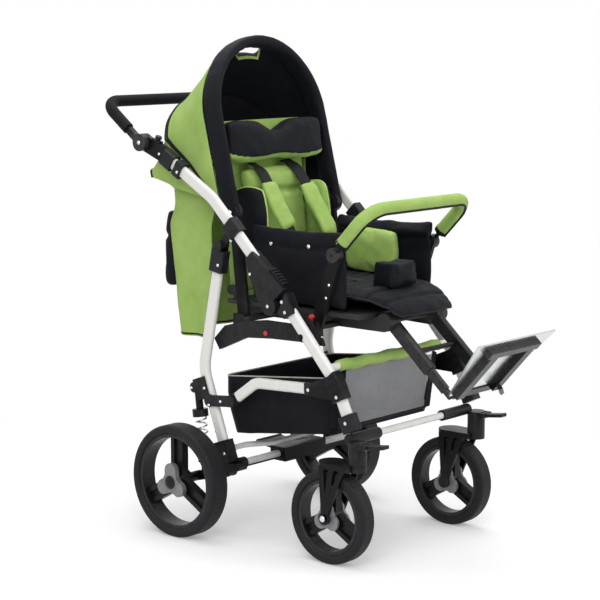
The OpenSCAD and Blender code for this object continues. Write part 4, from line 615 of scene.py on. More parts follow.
def puff():
    for piece, cap in stuffed:
        cloth = piece.modifiers.new("cloth", "CLOTH")
        for key, value in blown.items():
            setattr(cloth.settings, key, value)
        cloth.settings.effector_weights.gravity = 0
        cloth.point_cache.frame_end = blownFrames
    for step in range(blownFrames):
        scene.frame_set(step + 1)
    for piece, cap in stuffed:
        before = [vertex.co.copy() for vertex in piece.data.vertices]
        makeActive(piece)
        bpy.ops.object.modifier_apply(modifier="cloth")
        for vertex, old in zip(piece.data.vertices, before):
            move = vertex.co - old
            if move.length > cap:
                vertex.co = old + move * cap / move.length
        piece.data.update()
    scene.frame_set(1)
    for piece, cap in stuffed:
        applyModifier(piece, "fine", "SUBSURF", levels=1)
        smooth(piece)


print("stage: pads")
# A cushion drawn as a rounded block: u and v lie in its plane, w through it
def cushionPlace(look, u, v, w):
    narrow = look["corner"]
    across = u * look["width"] / 2 * sqrt(1 - v * v * narrow / 2)
    along = v * look["length"] / 2 * sqrt(1 - u * u * narrow / 2)
    crown = bulge(u, 6) * bulge(v, 6)
    return across, along, w * look["thick"] / 2 * mix(look.get("edge", 0.45), 1, crown)


seat = {"half": 0.1494, "noseHalf": 0.104, "back": -0.108, "flat": 0.300, "nose": 0.117, "fall": 0.046,
        "middle": 0.5860, "thick": 0.045, "edge": 0.62, "under": -0.30, "thickTo": 0.180, "step": 0.090,
        "pull": 0.012, "channels": 10, "sew": 0.0045, "sewWide": 0.0055, "sewLow": 0.055, "sewFront": -0.40}


def seatPlace(u, v, w):
    d = share(v) * (seat["flat"] + seat["nose"])
    over = max(0, d - seat["flat"]) / seat["nose"]
    half = mix(seat["half"], seat["noseHalf"], over ** 1.3)
    crown = bulge(u, 6) * bulge(v, 10)
    thin = min(1, max(0, d - seat["thickTo"]) / seat["step"])
    lift = mix(-mix(1, seat["under"], thin), mix(seat["edge"], 1, crown), share(w))
    return at(u * half, seat["back"] - d + seat["pull"] * over * u * u,
              seat["middle"] - seat["fall"] * over ** 2 + lift * seat["thick"] / 2)


seatPad = blockPiece("seatPad", 34, seatPlace)
stuff(seatPad, 0.006, 0.006)

panel = {"x": 0.1572, "y": -0.262, "z": 0.6573, "width": 0.296, "length": 0.186, "thick": 0.012,
         "corner": 0.12, "edge": 0.7, "roll": 0.015, "rollAt": 0.76, "rollWide": 0.22, "dip": 0.007,
         "seamZ": 0.709, "seamSag": 0.010, "seamHalf": 0.15}


def panelPlace(side, u, v, w):
    along, up, through = cushionPlace(panel, u, v, w)
    roll = min(0, w) * panel["roll"] * near(v - panel["rollAt"], panel["rollWide"])
    dip = panel["dip"] * (1 - u * u) * max(0, v)
    return at(side * (panel["x"] + through + roll), panel["y"] + along, panel["z"] + up - dip)


sidePanels = stuffedPair("sidePanel", 30, panelPlace, 0.005, 0.004)

hip = {"x": 0.1295, "y": -0.247, "z": 0.6666, "width": 0.156, "length": 0.106, "thick": 0.034, "corner": 0.4}


def hipPlace(side, u, v, w):
    along, up, through = cushionPlace(hip, u, v, w)
    return at(side * (hip["x"] + through), hip["y"] + along, hip["z"] + up)


hipPads = stuffedPair("hipPad", 20, hipPlace, 0.0045, 0.004)

pommelLook = {"y": -0.42, "z": 0.6411, "width": 0.094, "length": 0.061, "thick": 0.062, "corner": 0.1,
              "edge": 0.86, "dip": 0.010, "narrow": 0.07, "seamX": 0.036, "seamZ": 0.640}


def pommelPlace(u, v, w):
    across, along, through = cushionPlace(pommelLook, u, v, w)
    dip = pommelLook["dip"] * max(0, v) * (1 - u * u) ** 1.5
    return at(across * (1 - pommelLook["narrow"] * v), pommelLook["y"] + through,
              pommelLook["z"] + along - dip)


pommel = blockPiece("pommel", 20, pommelPlace)
stuff(pommel, 0.004, 0.004)

backFrame = ((-0.038, 0.580), 6)


def onBack(x, y, z):
    return leaning(*backFrame, x, y, z)


cushion = {"width": 0.212, "length": 0.218, "thick": 0.038, "y": -0.0290, "z": 0.183, "corner": 0.22,
           "seamY": -0.05, "seamZ": 0.226}


def backPlace(u, v, w):
    across, along, through = cushionPlace(cushion, u, v, w)
    return onBack(across, cushion["y"] - through, cushion["z"] + along)


backCushion = blockPiece("backCushion", 28, backPlace)
stuff(backCushion, 0.005, 0.006)

trunk = {"x": 0.1235, "y": -0.0573, "z": 0.170, "width": 0.098, "length": 0.142, "thick": 0.026,
         "corner": 0.55, "bow": 0.010}


def trunkPlace(side, u, v, w):
    along, up, through = cushionPlace(trunk, u, v, w)
    inward = trunk["bow"] * u * u * (u < 0)
    return onBack(side * (trunk["x"] - inward + through), trunk["y"] + along, trunk["z"] + up)


trunkPads = stuffedPair("trunkPad", 20, trunkPlace, 0.004, 0.003)

head = {"width": 0.334, "height": 0.106, "thick": 0.052, "neck": 0.50, "base": 0.90, "neckHalf": 0.46,
        "end": 0.78, "y": -0.0365, "z": 0.348, "wing": 0.020, "wingShare": 0.4, "hem": 0.019, "hemY": -0.03}


def headTall(u, low):
    k = min(1, abs(u) / head["neckHalf"])
    return mix(low, 1, ease(k)) * mix(1, head["end"], abs(u) ** 6)


def headPlace(u, v, w):
    through = w * head["thick"] / 2 * mix(0.4, 1, bulge(u, 5) * bulge(v, 5))
    forward = head["wing"] * u * u * head["wingShare"]
    return onBack(u * head["width"] / 2, head["y"] - through - forward,
                  head["z"] + v * head["height"] / 2 * headTall(u, head["neck" if v > 0 else "base"]))


headrest = blockPiece("headrest", 30, headPlace)
stuff(headrest, 0.005, 0.005)

pocket = {"y": 0.1967, "z": 0.658, "width": 0.246, "length": 0.200, "thick": 0.050, "corner": 0.25,
          "edge": 0.5, "slump": 0.006, "seamZ": 0.690, "seamSag": 0.012, "seamHalf": 0.12}


def pocketPlace(u, v, w):
    across, along, through = cushionPlace(pocket, u, v, w)
    slump = pocket["slump"] * (1 - v) * (1 - u * u)
    return at(across, pocket["y"] + through + slump, pocket["z"] + along)


rearPocket = blockPiece("rearPocket", 26, pocketPlace)
stuff(rearPocket, 0.006, 0.005)
puff()

print("stage: seams on the pads")
stride = (seat["flat"] + seat["nose"]) / seat["channels"]


def channelAway(point):
    if point.z < seat["middle"] - seat["sewLow"] and point.y - axleY > seat["sewFront"]:
        return None
    d = seat["back"] - (point.y - axleY)
    step = round(d / stride)
    if step < 1 or step > seat["channels"] - 1:
        return None
    return d - step * stride


def saggingAway(look, across, z):
    return z - look["seamZ"] + look["seamSag"] * (1 - (across / look["seamHalf"]) ** 2)


def pommelAway(point):
    low = max(0, pommelLook["seamZ"] - point.z)
    return abs(abs(point.x) - pommelLook["seamX"]) + low * 3


groove(seatPad, channelAway, seat["sew"], seat["sewWide"])
rumple(seatPad, 0.0020, 34, 3)
paint(seatPad, blackCloth)
seatEdge = edgePoints(lambda u, v: seatPlace(u, v, 0), [(-1, -1), (-1, 1), (1, 1), (1, -1)], (80, 40, 80))
seatPiping = pipePiece("seatPiping", onSurface(seatPad, seatEdge, 0.0004), 0.0026)
paint(seatPiping, blackPiping)
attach(seatPiping, "chassis")
cushionSeam = onBack(0, cushion["seamY"], cushion["seamZ"]).z
groove(backCushion, lambda point: point.z - cushionSeam, 0.011, 0.009)
rumple(backCushion, 0.0022, 30, 7)
paint(backCushion, greenCloth)
for piece in sidePanels:
    groove(piece, lambda point: saggingAway(panel, point.y - axleY - panel["y"], point.z), 0.005, 0.008)
    rumple(piece, 0.0025, 26, 5)
    paint(piece, blackCloth)
for piece in hipPads:
    rumple(piece, 0.0018, 36, 9)
    paint(piece, greenCloth)
rumple(pommel, 0.0012, 40, 2)
groove(pommel, pommelAway, 0.003, 0.006)
paint(pommel, blackCloth)
rumple(headrest, 0.0018, 36, 4)
paint(headrest, blackCloth, greenCloth)
headLevel = onBack(0, head["hemY"], head["z"]).z
for face in headrest.data.polygons:
    edge = -head["height"] / 2 * headTall(min(1, abs(face.center.x) / (head["width"] / 2)), head["base"])
    if face.center.z - headLevel < edge + head["hem"] and face.normal.z < 0.5:
        face.material_index = 1
rumple(rearPocket, 0.004, 20, 6)
groove(rearPocket, lambda point: saggingAway(pocket, point.x, point.z), 0.006, 0.008)
paint(rearPocket, blackCloth)
trunkTrim = []
for (side, tag), piece in zip(pair, trunkPads):
    rumple(piece, 0.0012, 40, 8)
    paint(piece, blackCloth, greenCloth)
    for face in piece.data.polygons:
        if face.normal.x * side < -0.1:
            face.material_index = 1
    ring = []
    for step in range(64):
        u, v = cos(2 * pi * step / 64), sin(2 * pi * step / 64)
        grow = 1 / max(abs(u), abs(v))
        ring.append(trunkPlace(side, u * grow, v * grow, 0))
    trim = pipePiece("trunkPiping" + tag, onSurface(piece, ring, 0.0004), 0.0022, closed=True)
    paint(trim, greenPiping)
    trunkTrim.append(trim)

padRows = [([seatPad], "chassis", "seat_pad", 0.7), ([pommel], "chassis", "pommel", 0.9),
           ([backCushion], "backrest", "back_cushion", 0.7), ([headrest], "headrest", "headrest", 0.8),
           ([rearPocket], "chassis", "rear_pocket", 0.3), (sidePanels, "chassis", "side_panels", 0.5),
           (hipPads, "chassis", "hip_pads", 0.7), (trunkPads, "backrest", "trunk_supports", 0.8)]
for pieces, body, node, fill in padRows:
    for piece in pieces:
        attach(piece, body)
        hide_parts(node)
for trim in trunkTrim:
    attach(trim, "backrest")

print("stage: harness")
strap = {"width": 0.034, "thick": 0.0022, "padWidth": 0.050, "padFrom": 0.28, "padTo": 0.72,
         "padThick": 0.015, "padLift": 0.002, "steps": 120, "lapHalf": 0.015, "crotchHalf": 0.016,
         "R": [(-0.062, -0.020, 0.298), (-0.066, -0.062, 0.276), (-0.063, -0.088, 0.200),
               (-0.050, -0.125, 0.118), (-0.032, -0.114, 0.094), (-0.014, -0.094, 0.088)],
         "L": [(0.060, -0.020, 0.298), (0.062, -0.062, 0.276), (0.076, -0.088, 0.198), (0.094, -0.128, 0.104),
               (0.062, -0.118, 0.088), (0.014, -0.094, 0.088)],
         "lap": [(-0.104, -0.020, 0.070), (-0.080, -0.062, 0.080), (-0.020, -0.090, 0.092),
                 (0.020, -0.090, 0.092), (0.080, -0.062, 0.080), (0.104, -0.020, 0.070)]}
forward = onBack(0, -1, 0) - onBack(0, 0, 0)
webbed, shoulderPads = [], []
for tag, seed in (("R", 12), ("L", 13)):
    last = strap["steps"]
    route = softRoute([onBack(*point) for point in strap[tag]], last + 1)

    def strapPlace(u, t, wide, lift):
        step = min(last - 1, int(t * last))
        ahead = route[min(step + 3, last)] - route[max(step - 3, 0)]
        across = ahead.cross(forward).normalized()
        facing = across.cross(ahead).normalized()
        if facing.dot(forward) < 0:
            facing = -facing
        return route[step].lerp(route[step + 1], t * last - step) + across * u * wide / 2 + facing * lift

    def shoulderPlace(u, v, w):
        edge = bulge(u, 5) * bulge(v, 12)
        wide = strap["padWidth"] * sqrt(1 - abs(v) ** 6 * 0.3)
        return strapPlace(u, mix(strap["padFrom"], strap["padTo"], share(v)), wide,
                          strap["padLift"] + w * strap["padThick"] / 2 * mix(0.35, 1, edge))

    webbed.append(gridPiece("band", 8, last, lambda u, v: strapPlace(u, share(v), strap["width"], 0)))
    pad = blockPiece("shoulderPad" + tag, 26, shoulderPlace)
    applyModifier(pad, "fine", "SUBSURF", levels=1)
    rumple(pad, 0.0020, 45, seed)
    smooth(pad)
    paint(pad, greenCloth)
    shoulderPads.append(pad)

buckle = {"y": -0.084, "z": 0.088, "width": 0.052, "height": 0.044, "thick": 0.012, "lift": 0.010,
          "corner": 0.35}


def bucklePlace(u, v, w):
    rounding = sqrt(1 - u * u * v * v * buckle["corner"])
    spot = onBack(0, buckle["y"], buckle["z"])
    lift = buckle["lift"] + w * buckle["thick"] / 2 * mix(0.7, 1, bulge(u, 4) * bulge(v, 4))
    return spot + Vector((u * buckle["width"] / 2, 0, v * buckle["height"] / 2)) * rounding + forward * lift


clasp = blockPiece("buckle", 10, bucklePlace)
smooth(clasp, 40)
paint(clasp, castingBlack)
lapPoints = softRoute([onBack(*point) for point in strap["lap"]], 49)
webbed.append(gridPiece("lap", 48, 4, lambda u, v: lapPoints[round(share(u) * 48)]
                        + Vector((0, 0, v * strap["lapHalf"]))))
crotchPoints = softRoute([onBack(0, -0.090, 0.080), at(0, -0.140, 0.626), at(0, -0.175, 0.6175),
                          at(0, -0.24, 0.614), at(0, -0.33, 0.613)], 41)
webbed.append(gridPiece("crotch", 4, 40, lambda u, v: crotchPoints[round(share(v) * 40)]
                        + Vector((u * strap["crotchHalf"], 0, 0))))
for piece in webbed:
    thicken(piece, strap["thick"])
harness = joinPieces("harness", webbed)
tidyMesh(harness)
smooth(harness, 50)
paint(harness, webbing)
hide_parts("harness")
for piece in [harness, clasp] + shoulderPads:
    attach(piece, "backrest")

print("stage: hood")
hood = {"pivot": (-0.078, 0.770), "slope": 14, "half": 0.186, "height": 0.411, "rim": 0.007,
        "depth": 0.160, "wall": 0.42, "low": 0.06, "skirt": 0.020, "hem": 0.050, "rise": 0.88, "flare": 0.006,
        "behind": 0.02637, "ribAt": 0.583, "ribRise": 0.56, "ribDeep": 0.84, "endDeep": 1.29, "ribGap": 0.012,
        "blackHalf": 0.186, "dip": 0.034, "slotHalf": 0.036, "slotFade": 0.016, "slotBack": 0.12,
        "lipHalf": 0.058, "lipFrom": 0.012, "legBack": 0.046, "legUp": 0.038, "hemAt": 0.99,
        "blendReach": 0.170}
drape = {"ridge": 0.003, "ridgeWide": 0.03, "slack": 0.005, "fold": 0.005, "folds": 9, "broad": 0.005,
         "fine": 0.0020}
slope = radians(hood["slope"])


def archPoint(half, height, t):
    wall = hood["wall"] / 2
    spring = height - half
    if t < wall:
        return -half, spring * t / wall
    if t > 1 - wall:
        return half, spring * (1 - t) / wall
    a = pi * (t - wall) / (1 - 2 * wall)
    return -half * cos(a), spring + half * sin(a)


def hoodPoint(t, s, out=0.0):
    front = min(1, s / hood["ribAt"])
    rear = max(0, s - hood["ribAt"]) / (1 - hood["ribAt"])
    x, up = archPoint(hood["half"] + hood["rim"] + out, hood["height"] + hood["rim"] + out, t)
    rise = mix(1, hood["ribRise"], front) * (1 - rear)
    deep = hood["ribDeep"] * front + (hood["endDeep"] - hood["ribDeep"]) * rear
    up = hood["skirt"] + hood["hem"] * s + up * hood["rise"] * mix(hood["low"], 1, rise)
    if 0.2 < t < 0.8:    # the cloth starts below the hand slot
        inside = min(1, max(0, 1 - (abs(x) - hood["slotHalf"]) / hood["slotFade"]))
        up -= hood["dip"] * inside * max(0, 1 - s / hood["slotBack"]) ** 2
    y = hood["pivot"][0] + hood["behind"] + up * tan(slope)
    y += (hood["depth"] + out) * deep + hood["flare"] * rear ** 10
    return at(x, y, hood["pivot"][1] + up)


def hoodPlace(u, v):
    t, s = share(u), share(v)
    point = hoodPoint(t, s)
    ridge = drape["ridge"] * near(s - hood["ribAt"], drape["ridgeWide"])
    slack = drape["slack"] * sin(pi * min(1, s / hood["ribAt"])) * min(1, s * 6)
    fold = drape["fold"] * sin(drape["folds"] * pi * t + 5 * s) * s * (1 - s) * 2
    fine = drape["broad"] * ripple(point, 13, 1) * sin(pi * s) + drape["fine"] * ripple(point, 32, 4) * s
    return hoodPoint(t, s, ridge + fold + fine - slack * (0.6 + 0.4 * ripple(point, 7, 2)))


hoodCloth = gridPiece("hoodCloth", 120, 60, hoodPlace)
tidyMesh(hoodCloth)
paint(hoodCloth, greenCloth, blackCloth)
if sum(face.normal.z for face in hoodCloth.data.polygons) <= 0:
    editAll(hoodCloth, bpy.ops.mesh.flip_normals)
for face in hoodCloth.data.polygons:
    spread = [hoodCloth.data.uv_layers[0].data[loop].uv.y for loop in face.loop_indices]
    back = sum(spread) / len(spread)
    lip = hood["lipFrom"] < back < hood["slotBack"] and abs(face.center.x) < hood["lipHalf"]
    if lip or (back > hood["ribAt"] and abs(face.center.x) < hood["blackHalf"]):
        face.material_index = 1
trims = []
for shift in (-hood["ribGap"], hood["ribGap"]):
    wall = hood["wall"] / 2
    level = hood["ribAt"] + shift
    points = edgePoints(hoodPoint, [(wall, level), (1 - wall, level)], (120,))
    for side, end in ((-1, 0), (1, -1)):
        low = at(side * (hood["half"] + hood["rim"]), hood["pivot"][0] + hood["legBack"],
                 hood["pivot"][1] + hood["legUp"])
        leg = [low.lerp(points[end], (step / 40) ** 0.9) for step in range(40)]
        points = leg + points if side < 0 else points + leg[::-1]
    trims.append(pipePiece("hoodPiping", onSurface(hoodCloth, points, 0.0018), 0.0028))
points = edgePoints(hoodPoint, [(0, hood["hemAt"]), (1, hood["hemAt"])], (120,))
trims.append(pipePiece("hoodHem", onSurface(hoodCloth, points, 0.001), 0.0030))
hoodTrim = joinPieces("hoodTrim", trims)
paint(hoodTrim, blackPiping)
thicken(hoodCloth, 0.003, inner=1)
smooth(hoodCloth)
behind = Vector((0, cos(slope), -sin(slope)))
for piece in (hoodCloth, hoodTrim):
    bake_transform(piece)
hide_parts("hood_fabric")

# The bow is a stiff strip in a padded sleeve; the hand slot is the gap between it and the cloth
sleeve = {"outer": 0.0085, "inner": 0.0125, "top": 0.0175, "topWide": 0.22, "band": 0.0255, "wave": 0.13,
          "foot": -0.004, "spare": 0.0006}
bowCorners = [leaning(hood["pivot"], hood["slope"], side * hood["half"], 0, z) for side, z in
              [(-1, sleeve["foot"]), (-1, hood["height"]), (1, hood["height"]), (1, sleeve["foot"])]]
bowRoute = evenly(roundedRoute(bowCorners, hood["half"] - sleeve["spare"], 48), 221)


def bowSection(a, t):
    c, s = cos(a), sin(a)
    wave = 1 + sleeve["wave"] * noise.noise(Vector((t * 46, s * 1.5, c)))
    inner = mix(sleeve["inner"], sleeve["top"], near(t - 0.5, sleeve["topWide"]))
    side = (inner if c > 0 else sleeve["outer"]) * signedPower(c, 0.8) * wave
    return side, sleeve["band"] * signedPower(s, 0.7)


hoodBow = sweepPiece("hoodBow", bowRoute, -behind, 48, bowSection)
smooth(hoodBow, 50)
paint(hoodBow, blackCloth)
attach(hoodBow, "hood_bow")
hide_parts("hood_bow")

# Pivot discs of the bow, each with a dished face and a bright bolt
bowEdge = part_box("hood_bow")[1].x
discProfile = [(-0.020, 0.0), (-0.020, 0.025), (-0.003, 0.025), (-0.0006, 0.0235), (0, 0.021), (0, 0.0155),
               (-0.002, 0.0135), (-0.002, 0.0)]
boltProfile = [(-0.003, 0.0), (-0.003, 0.008), (0.001, 0.008), (0.0028, 0.006), (0.0034, 0.0)]
for name, profile, material in (("hoodDiscs", discProfile, castingBlack), ("hoodBolts", boltProfile, steel)):
    piece = joinPieces(name, [latheX("disc", bowEdge, profile, hood["pivot"], side) for side, tag in pair])
    paint(piece, material)
    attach(piece, "hood_bow")

print("stage: back cover")
cover = {"half": 0.1772, "front": 0.004, "back": 0.172, "round": 0.060, "low": 0.462, "top": 0.8825,
         "fold": 0.005, "folds": 7, "broad": 0.005, "fine": 0.0025, "tuck": 0.046, "draw": 0.013,
         "drawFrom": 0.62, "drawOver": 0.14}


def coverPlan(t, out):
    bend, flat = cover["round"], cover["half"] - cover["round"]
    sideLength = cover["back"] + cover["front"] - bend
    arc = pi / 2 * bend
    total = 2 * (sideLength + arc + flat)
    d = t * total
    e, m = (total - d, 1) if d > total / 2 else (d, -1)
    if e < sideLength:
        return m * (cover["half"] + out), -cover["front"] + e
    if e < sideLength + arc:
        a = (e - sideLength) / bend
        return m * (flat + (bend + out) * cos(a)), cover["back"] - bend + (bend + out) * sin(a)
    return m * (flat - (e - sideLength - arc)), cover["back"] + out


def coverPlace(u, v):
    t, s = share(u), share(v)
    z = mix(cover["low"], cover["top"], s)
    spot = Vector((*coverPlan(t, 0), z))
    wave = cover["fold"] * (1 - s) * sin(2 * pi * cover["folds"] * t) + cover["fine"] * ripple(spot, 26, 5)
    wave += cover["broad"] * ripple((spot.x, spot.y, z * 0.35), 15, 3) * (1 - 0.6 * s)
    tuck = cover["tuck"] * (1 - s) ** 2 * max(0, spot.y) / cover["back"]
    drawn = min(1, max(0, (s - cover["drawFrom"]) / cover["drawOver"]))    # in where the bow folds past it
    x, y = coverPlan(t, wave - cover["draw"] * ease(drawn))
    return at(x, y - tuck, z)


backCover = gridPiece("backCover", 150, 80, coverPlace)
tidyMesh(backCover)
paint(backCover, greenCloth, blackCloth)
coverTrims = []
for name, level, radius in (("coverTop", 0.985, 0.0032), ("coverHem", 0.012, 0.0028)):
    points = edgePoints(coverPlace, [(-1, 2 * level - 1), (1, 2 * level - 1)], (150,))
    coverTrims.append(pipePiece(name, points, radius))
coverTrim = joinPieces("coverTrim", coverTrims)
paint(coverTrim, blackPiping)
thicken(backCover, 0.003)
smooth(backCover)
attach(backCover, "chassis")
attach(coverTrim, "chassis")
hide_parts("back_cover")

print("stage: bumper cover and cross tube sleeve")
bumper = {"joint": (-0.388, 0.695), "slope": 46, "reach": 0.150, "bend": 0.048, "radius": 0.0155,
          "from": 0.034, "inset": 0.016, "cornerAt": 0.29, "cornerWide": 0.07, "cuff": 0.009,
          "cuffThick": 0.0008}
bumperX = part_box("bumper_cover")[1].x - bumper["inset"]
bumperSlope = radians(bumper["slope"])


def bumperPoint(x, d):
    return at(x, bumper["joint"][0] - d * cos(bumperSlope), bumper["joint"][1] + d * sin(bumperSlope))


bumperCorners = [bumperPoint(-bumperX, bumper["from"]), bumperPoint(-bumperX, bumper["reach"]),
                 bumperPoint(bumperX, bumper["reach"]), bumperPoint(bumperX, bumper["from"])]
bumperRoute = evenly(roundedRoute(bumperCorners, bumper["bend"], 24), 241)
bumperNormal = Vector((0, -sin(bumperSlope), -cos(bumperSlope)))


def bumperSection(a, t):
    corner = near(abs(t - 0.5) - bumper["cornerAt"], bumper["cornerWide"])
    r = bumper["radius"] * (1 + 0.03 * tubeRipple(a, t, 38, 1.4) + 0.05 * corner * tubeRipple(a, t, 120))
    return r * cos(a), r * sin(a)


bumperCover = sweepPiece("bumperCover", bumperRoute, bumperNormal, 36, bumperSection)
smooth(bumperCover)
paint(bumperCover, greenCloth)
points = [point + bumperNormal * bumper["radius"] for point in bumperRoute]
bumperTrim = pipePiece("bumperTrim", points, 0.0032)
paint(bumperTrim, blackPiping)
cuffs = []
for end, inner in ((0, 3), (240, 237)):
    step = (bumperRoute[inner] - bumperRoute[end]).normalized() * bumper["cuff"]
    cuffs.append(pipePiece("cuff", [bumperRoute[end] - step * 0.2, bumperRoute[end] + step],
                           bumper["radius"] + bumper["cuffThick"]))
bumperCuffs = joinPieces("bumperCuffs", cuffs)
paint(bumperCuffs, blackCloth)
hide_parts("bumper_cover")
for piece in (bumperCover, bumperTrim, bumperCuffs):
    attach(piece, "bumper")

sleeveLow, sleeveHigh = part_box("cross_tube_sleeve")
sleeveMid = (sleeveLow + sleeveHigh) / 2
sleeveR = (sleeveHigh.z - sleeveLow.z) / 2
sleeveRoute = [Vector((mix(sleeveLow.x, sleeveHigh.x, step / 140), sleeveMid.y, sleeveMid.z))
               for step in range(141)]


def sleeveSection(a, t):
    r = sleeveR * (0.96 + 0.05 * tubeRipple(a, t, 60) + 0.05 * tubeRipple(a, t, 17, 2))
    return r * cos(a), r * sin(a) + 0.0015 * sin(9 * pi * t)


tubeSleeve = sweepPiece("tubeSleeve", sleeveRoute, Vector((0, 0, 1)), 32, sleeveSection)
smooth(tubeSleeve)
paint(tubeSleeve, greenCloth)
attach(tubeSleeve, "chassis")
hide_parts("cross_tube_sleeve")

print("stage: basket")
basket = {"half": 0.195, "rear": -0.057, "front": -0.401, "rearZ": 0.380, "frontZ": 0.416, "floor": 0.241,
          "rise": 0.046, "taper": 0.016, "round": 0.030, "window": 0.156, "windowDeep": 0.030, "sill": 0.300,
          "swell": 0.005, "swellMost": 0.006, "sag": 0.006, "piping": 0.0015,
          "flat": (0.72, 0.60), "mostArea": 0.43}


@lru_cache(None)
def basketRing(inset):
    x, back, ahead = basket["half"] - inset, basket["rear"] - inset, basket["front"] + inset
    corners = [Vector((*spot, 0)) for spot in
               ((0, back), (x, back), (x, ahead), (-x, ahead), (-x, back), (0, back))]
    return evenly(roundedRoute(corners, max(0.004, basket["round"] - inset * 0.3), 10), 161)


# The walls come first, from the rim down, then the floor towards its middle
def basketPlace(u, v):
    down, inwards = min(v + 1, 1), max(v, 0)
    spot = basketRing(round(basket["taper"] * down, 6))[round(share(u) * 160)]
    middle = Vector((0, (basket["rear"] + basket["front"]) / 2, 0))
    if inwards:
        spot = middle.lerp(spot, 1 - inwards)
    ahead = (spot.y - basket["rear"]) / (basket["front"] - basket["rear"])
    low = basket["floor"] + basket["rise"] * ahead
    if inwards:
        sag = basket["sag"] * (1 - (1 - inwards) ** 2)
        return at(spot.x, spot.y, low - sag + 0.002 * ripple(spot, 20, 7))
    z = mix(mix(basket["rearZ"], basket["frontZ"], ahead), low, down)
    slack = sin(pi * down) + ripple((spot.x, spot.y, z * 0.5), 18, 2) * sin(pi * min(1, down * 1.2))
    spot = spot + (spot - middle).normalized() * min(basket["swell"] * slack, basket["swellMost"])
    return at(spot.x, spot.y, z)


basketCloth = gridPiece("basketCloth", 160, 60, basketPlace)
makeActive(basketCloth)
setMode("EDIT")
bpy.ops.mesh.select_mode(type="FACE")
bpy.ops.mesh.select_all(action="DESELECT")
setMode("OBJECT")
for face in basketCloth.data.polygons:
    ahead = face.center.y - axleY < basket["front"] + basket["windowDeep"]
    face.select = ahead and abs(face.center.x) < basket["window"] and face.center.z > basket["sill"]
setMode("EDIT")
bpy.ops.mesh.delete(type="FACE")
bpy.ops.mesh.select_mode(type="VERT")
setMode("OBJECT")
tidyMesh(basketCloth)
thicken(basketCloth, 0.0026)
smooth(basketCloth)
paint(basketCloth, blackCloth)
rimPoints = [point + Vector((0, 0, basket["piping"]))
             for point in edgePoints(basketPlace, [(-1, -1), (1, -1)], (160,))]
kept = [point for point in rimPoints
        if point.y - axleY >= basket["front"] + 0.02 or abs(point.x) >= basket["window"]]
starts = max(range(len(kept)), key=lambda index: (kept[index] - kept[index - 1]).length)
basketPiping = pipePiece("basketPiping", kept[starts:] + kept[1:starts], 0.0017)
paint(basketPiping, palePiping)
net = {"low": 0.004, "high": 0.010, "belly": 0.010, "bellyShare": 0.7, "slack": 0.003, "sillBack": 0.0135,
       "topFront": 0.004, "overSill": 0.006, "topShare": 0.85, "cornerBack": 0.028}


def netPlace(u, v):
    s = share(v)
    wide = mix(basket["window"] + net["low"], basket["window"] + net["high"], s)
    belly = (net["belly"] * (1 - u * u) + net["slack"] * ripple((u * 0.2, s * 0.2, 0), 14, 2)) * sin(pi * s)
    y = mix(basket["front"] + axleY + net["sillBack"], sleeveMid.y - net["topFront"], s)
    return Vector((u * wide, y - belly * net["bellyShare"],
                   mix(basket["sill"] - net["overSill"], sleeveMid.z - sleeveR * net["topShare"], s)))


basketNet = gridPiece("basketNet", 80, 40, netPlace)
smooth(basketNet)
paint(basketNet, meshNet)
outline = edgePoints(netPlace, [(-1, 1), (-1, -1), (1, -1), (1, 1)], (40, 40, 40))
netBinding = pipePiece("netBinding", outline, 0.0035)
paint(netBinding, blackPiping)
corners = []
for side, tag in pair:
    def cornerPlace(u, v):
        across, s = share(u), share(v)
        outer = at(side * (basket["half"] - basket["taper"] * (1 - s)), basket["front"] + net["cornerBack"],
                   mix(basket["sill"], basket["frontZ"], s))
        return netPlace(side, v).lerp(outer, across) + Vector((side * 0.006, -0.010, 0)) * sin(pi * across)

    corners.append(gridPiece("corner", 16, 30, cornerPlace))
basketCorners = joinPieces("basketCorners", corners)
thicken(basketCorners, 0.0024)
tidyMesh(basketCorners)
smooth(basketCorners)
paint(basketCorners, blackCloth)
for piece in (basketCloth, basketPiping, basketNet, netBinding, basketCorners):
    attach(piece, "chassis")
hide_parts("basket")
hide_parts("basket_mesh")

print("stage: shock springs")
spring = {"foot": (-0.024, 0.178), "top": (-0.0111, 0.2812), "radius": 0.013, "wire": 0.002, "turns": 6,
          "steps": 24, "kept": 0.9}
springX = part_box("shock_springs")[1].x - spring["radius"] - spring["wire"]
sideways = Vector((1, 0, 0))
for side, tag in pair:
    foot, top = at(side * springX, *spring["foot"]), at(side * springX, *spring["top"])
    upward = (top - foot).normalized()
    ahead = upward.cross(sideways)
    rings = spring["turns"] * spring["steps"]
    coil = []
    for step in range(rings + 1):
        a = 2 * pi * step / spring["steps"]
        lift = mix(spring["wire"], (top - foot).length - spring["wire"], step / rings)
        coil.append(foot + upward * lift + (sideways * cos(a) + ahead * sin(a)) * spring["radius"])
    piece = pipePiece("shockSpring" + tag, coil, spring["wire"])
    paint(piece, steel)
    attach(piece, "rear_frame")
    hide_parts("shock_springs")
    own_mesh(piece)

print("stage: rivets, studs and nuts")
bpy.context.view_layer.update()


def outermost(pieces, side, y, z):
    best = None
    for piece in pieces:
        found, spot, facing, index = piece.ray_cast(at(side * 0.5, y, z), Vector((-side, 0, 0)))
        if found and (best is None or spot.x * side > best.x * side):
            best = spot
    return best


def heads(name, body, pieces, places, profile, material, sides):
    made = []
    for y, z in places:
        for side in sides:
            spot = outermost(pieces, side, y, z)
            if spot is None:
                print("no seat for", name, y, z)
                continue
            made.append(latheX("head", abs(spot.x), profile, (y, z), side, 20))
    if made:
        piece = joinPieces(name, made)
        paint(piece, material)
        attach(piece, body)


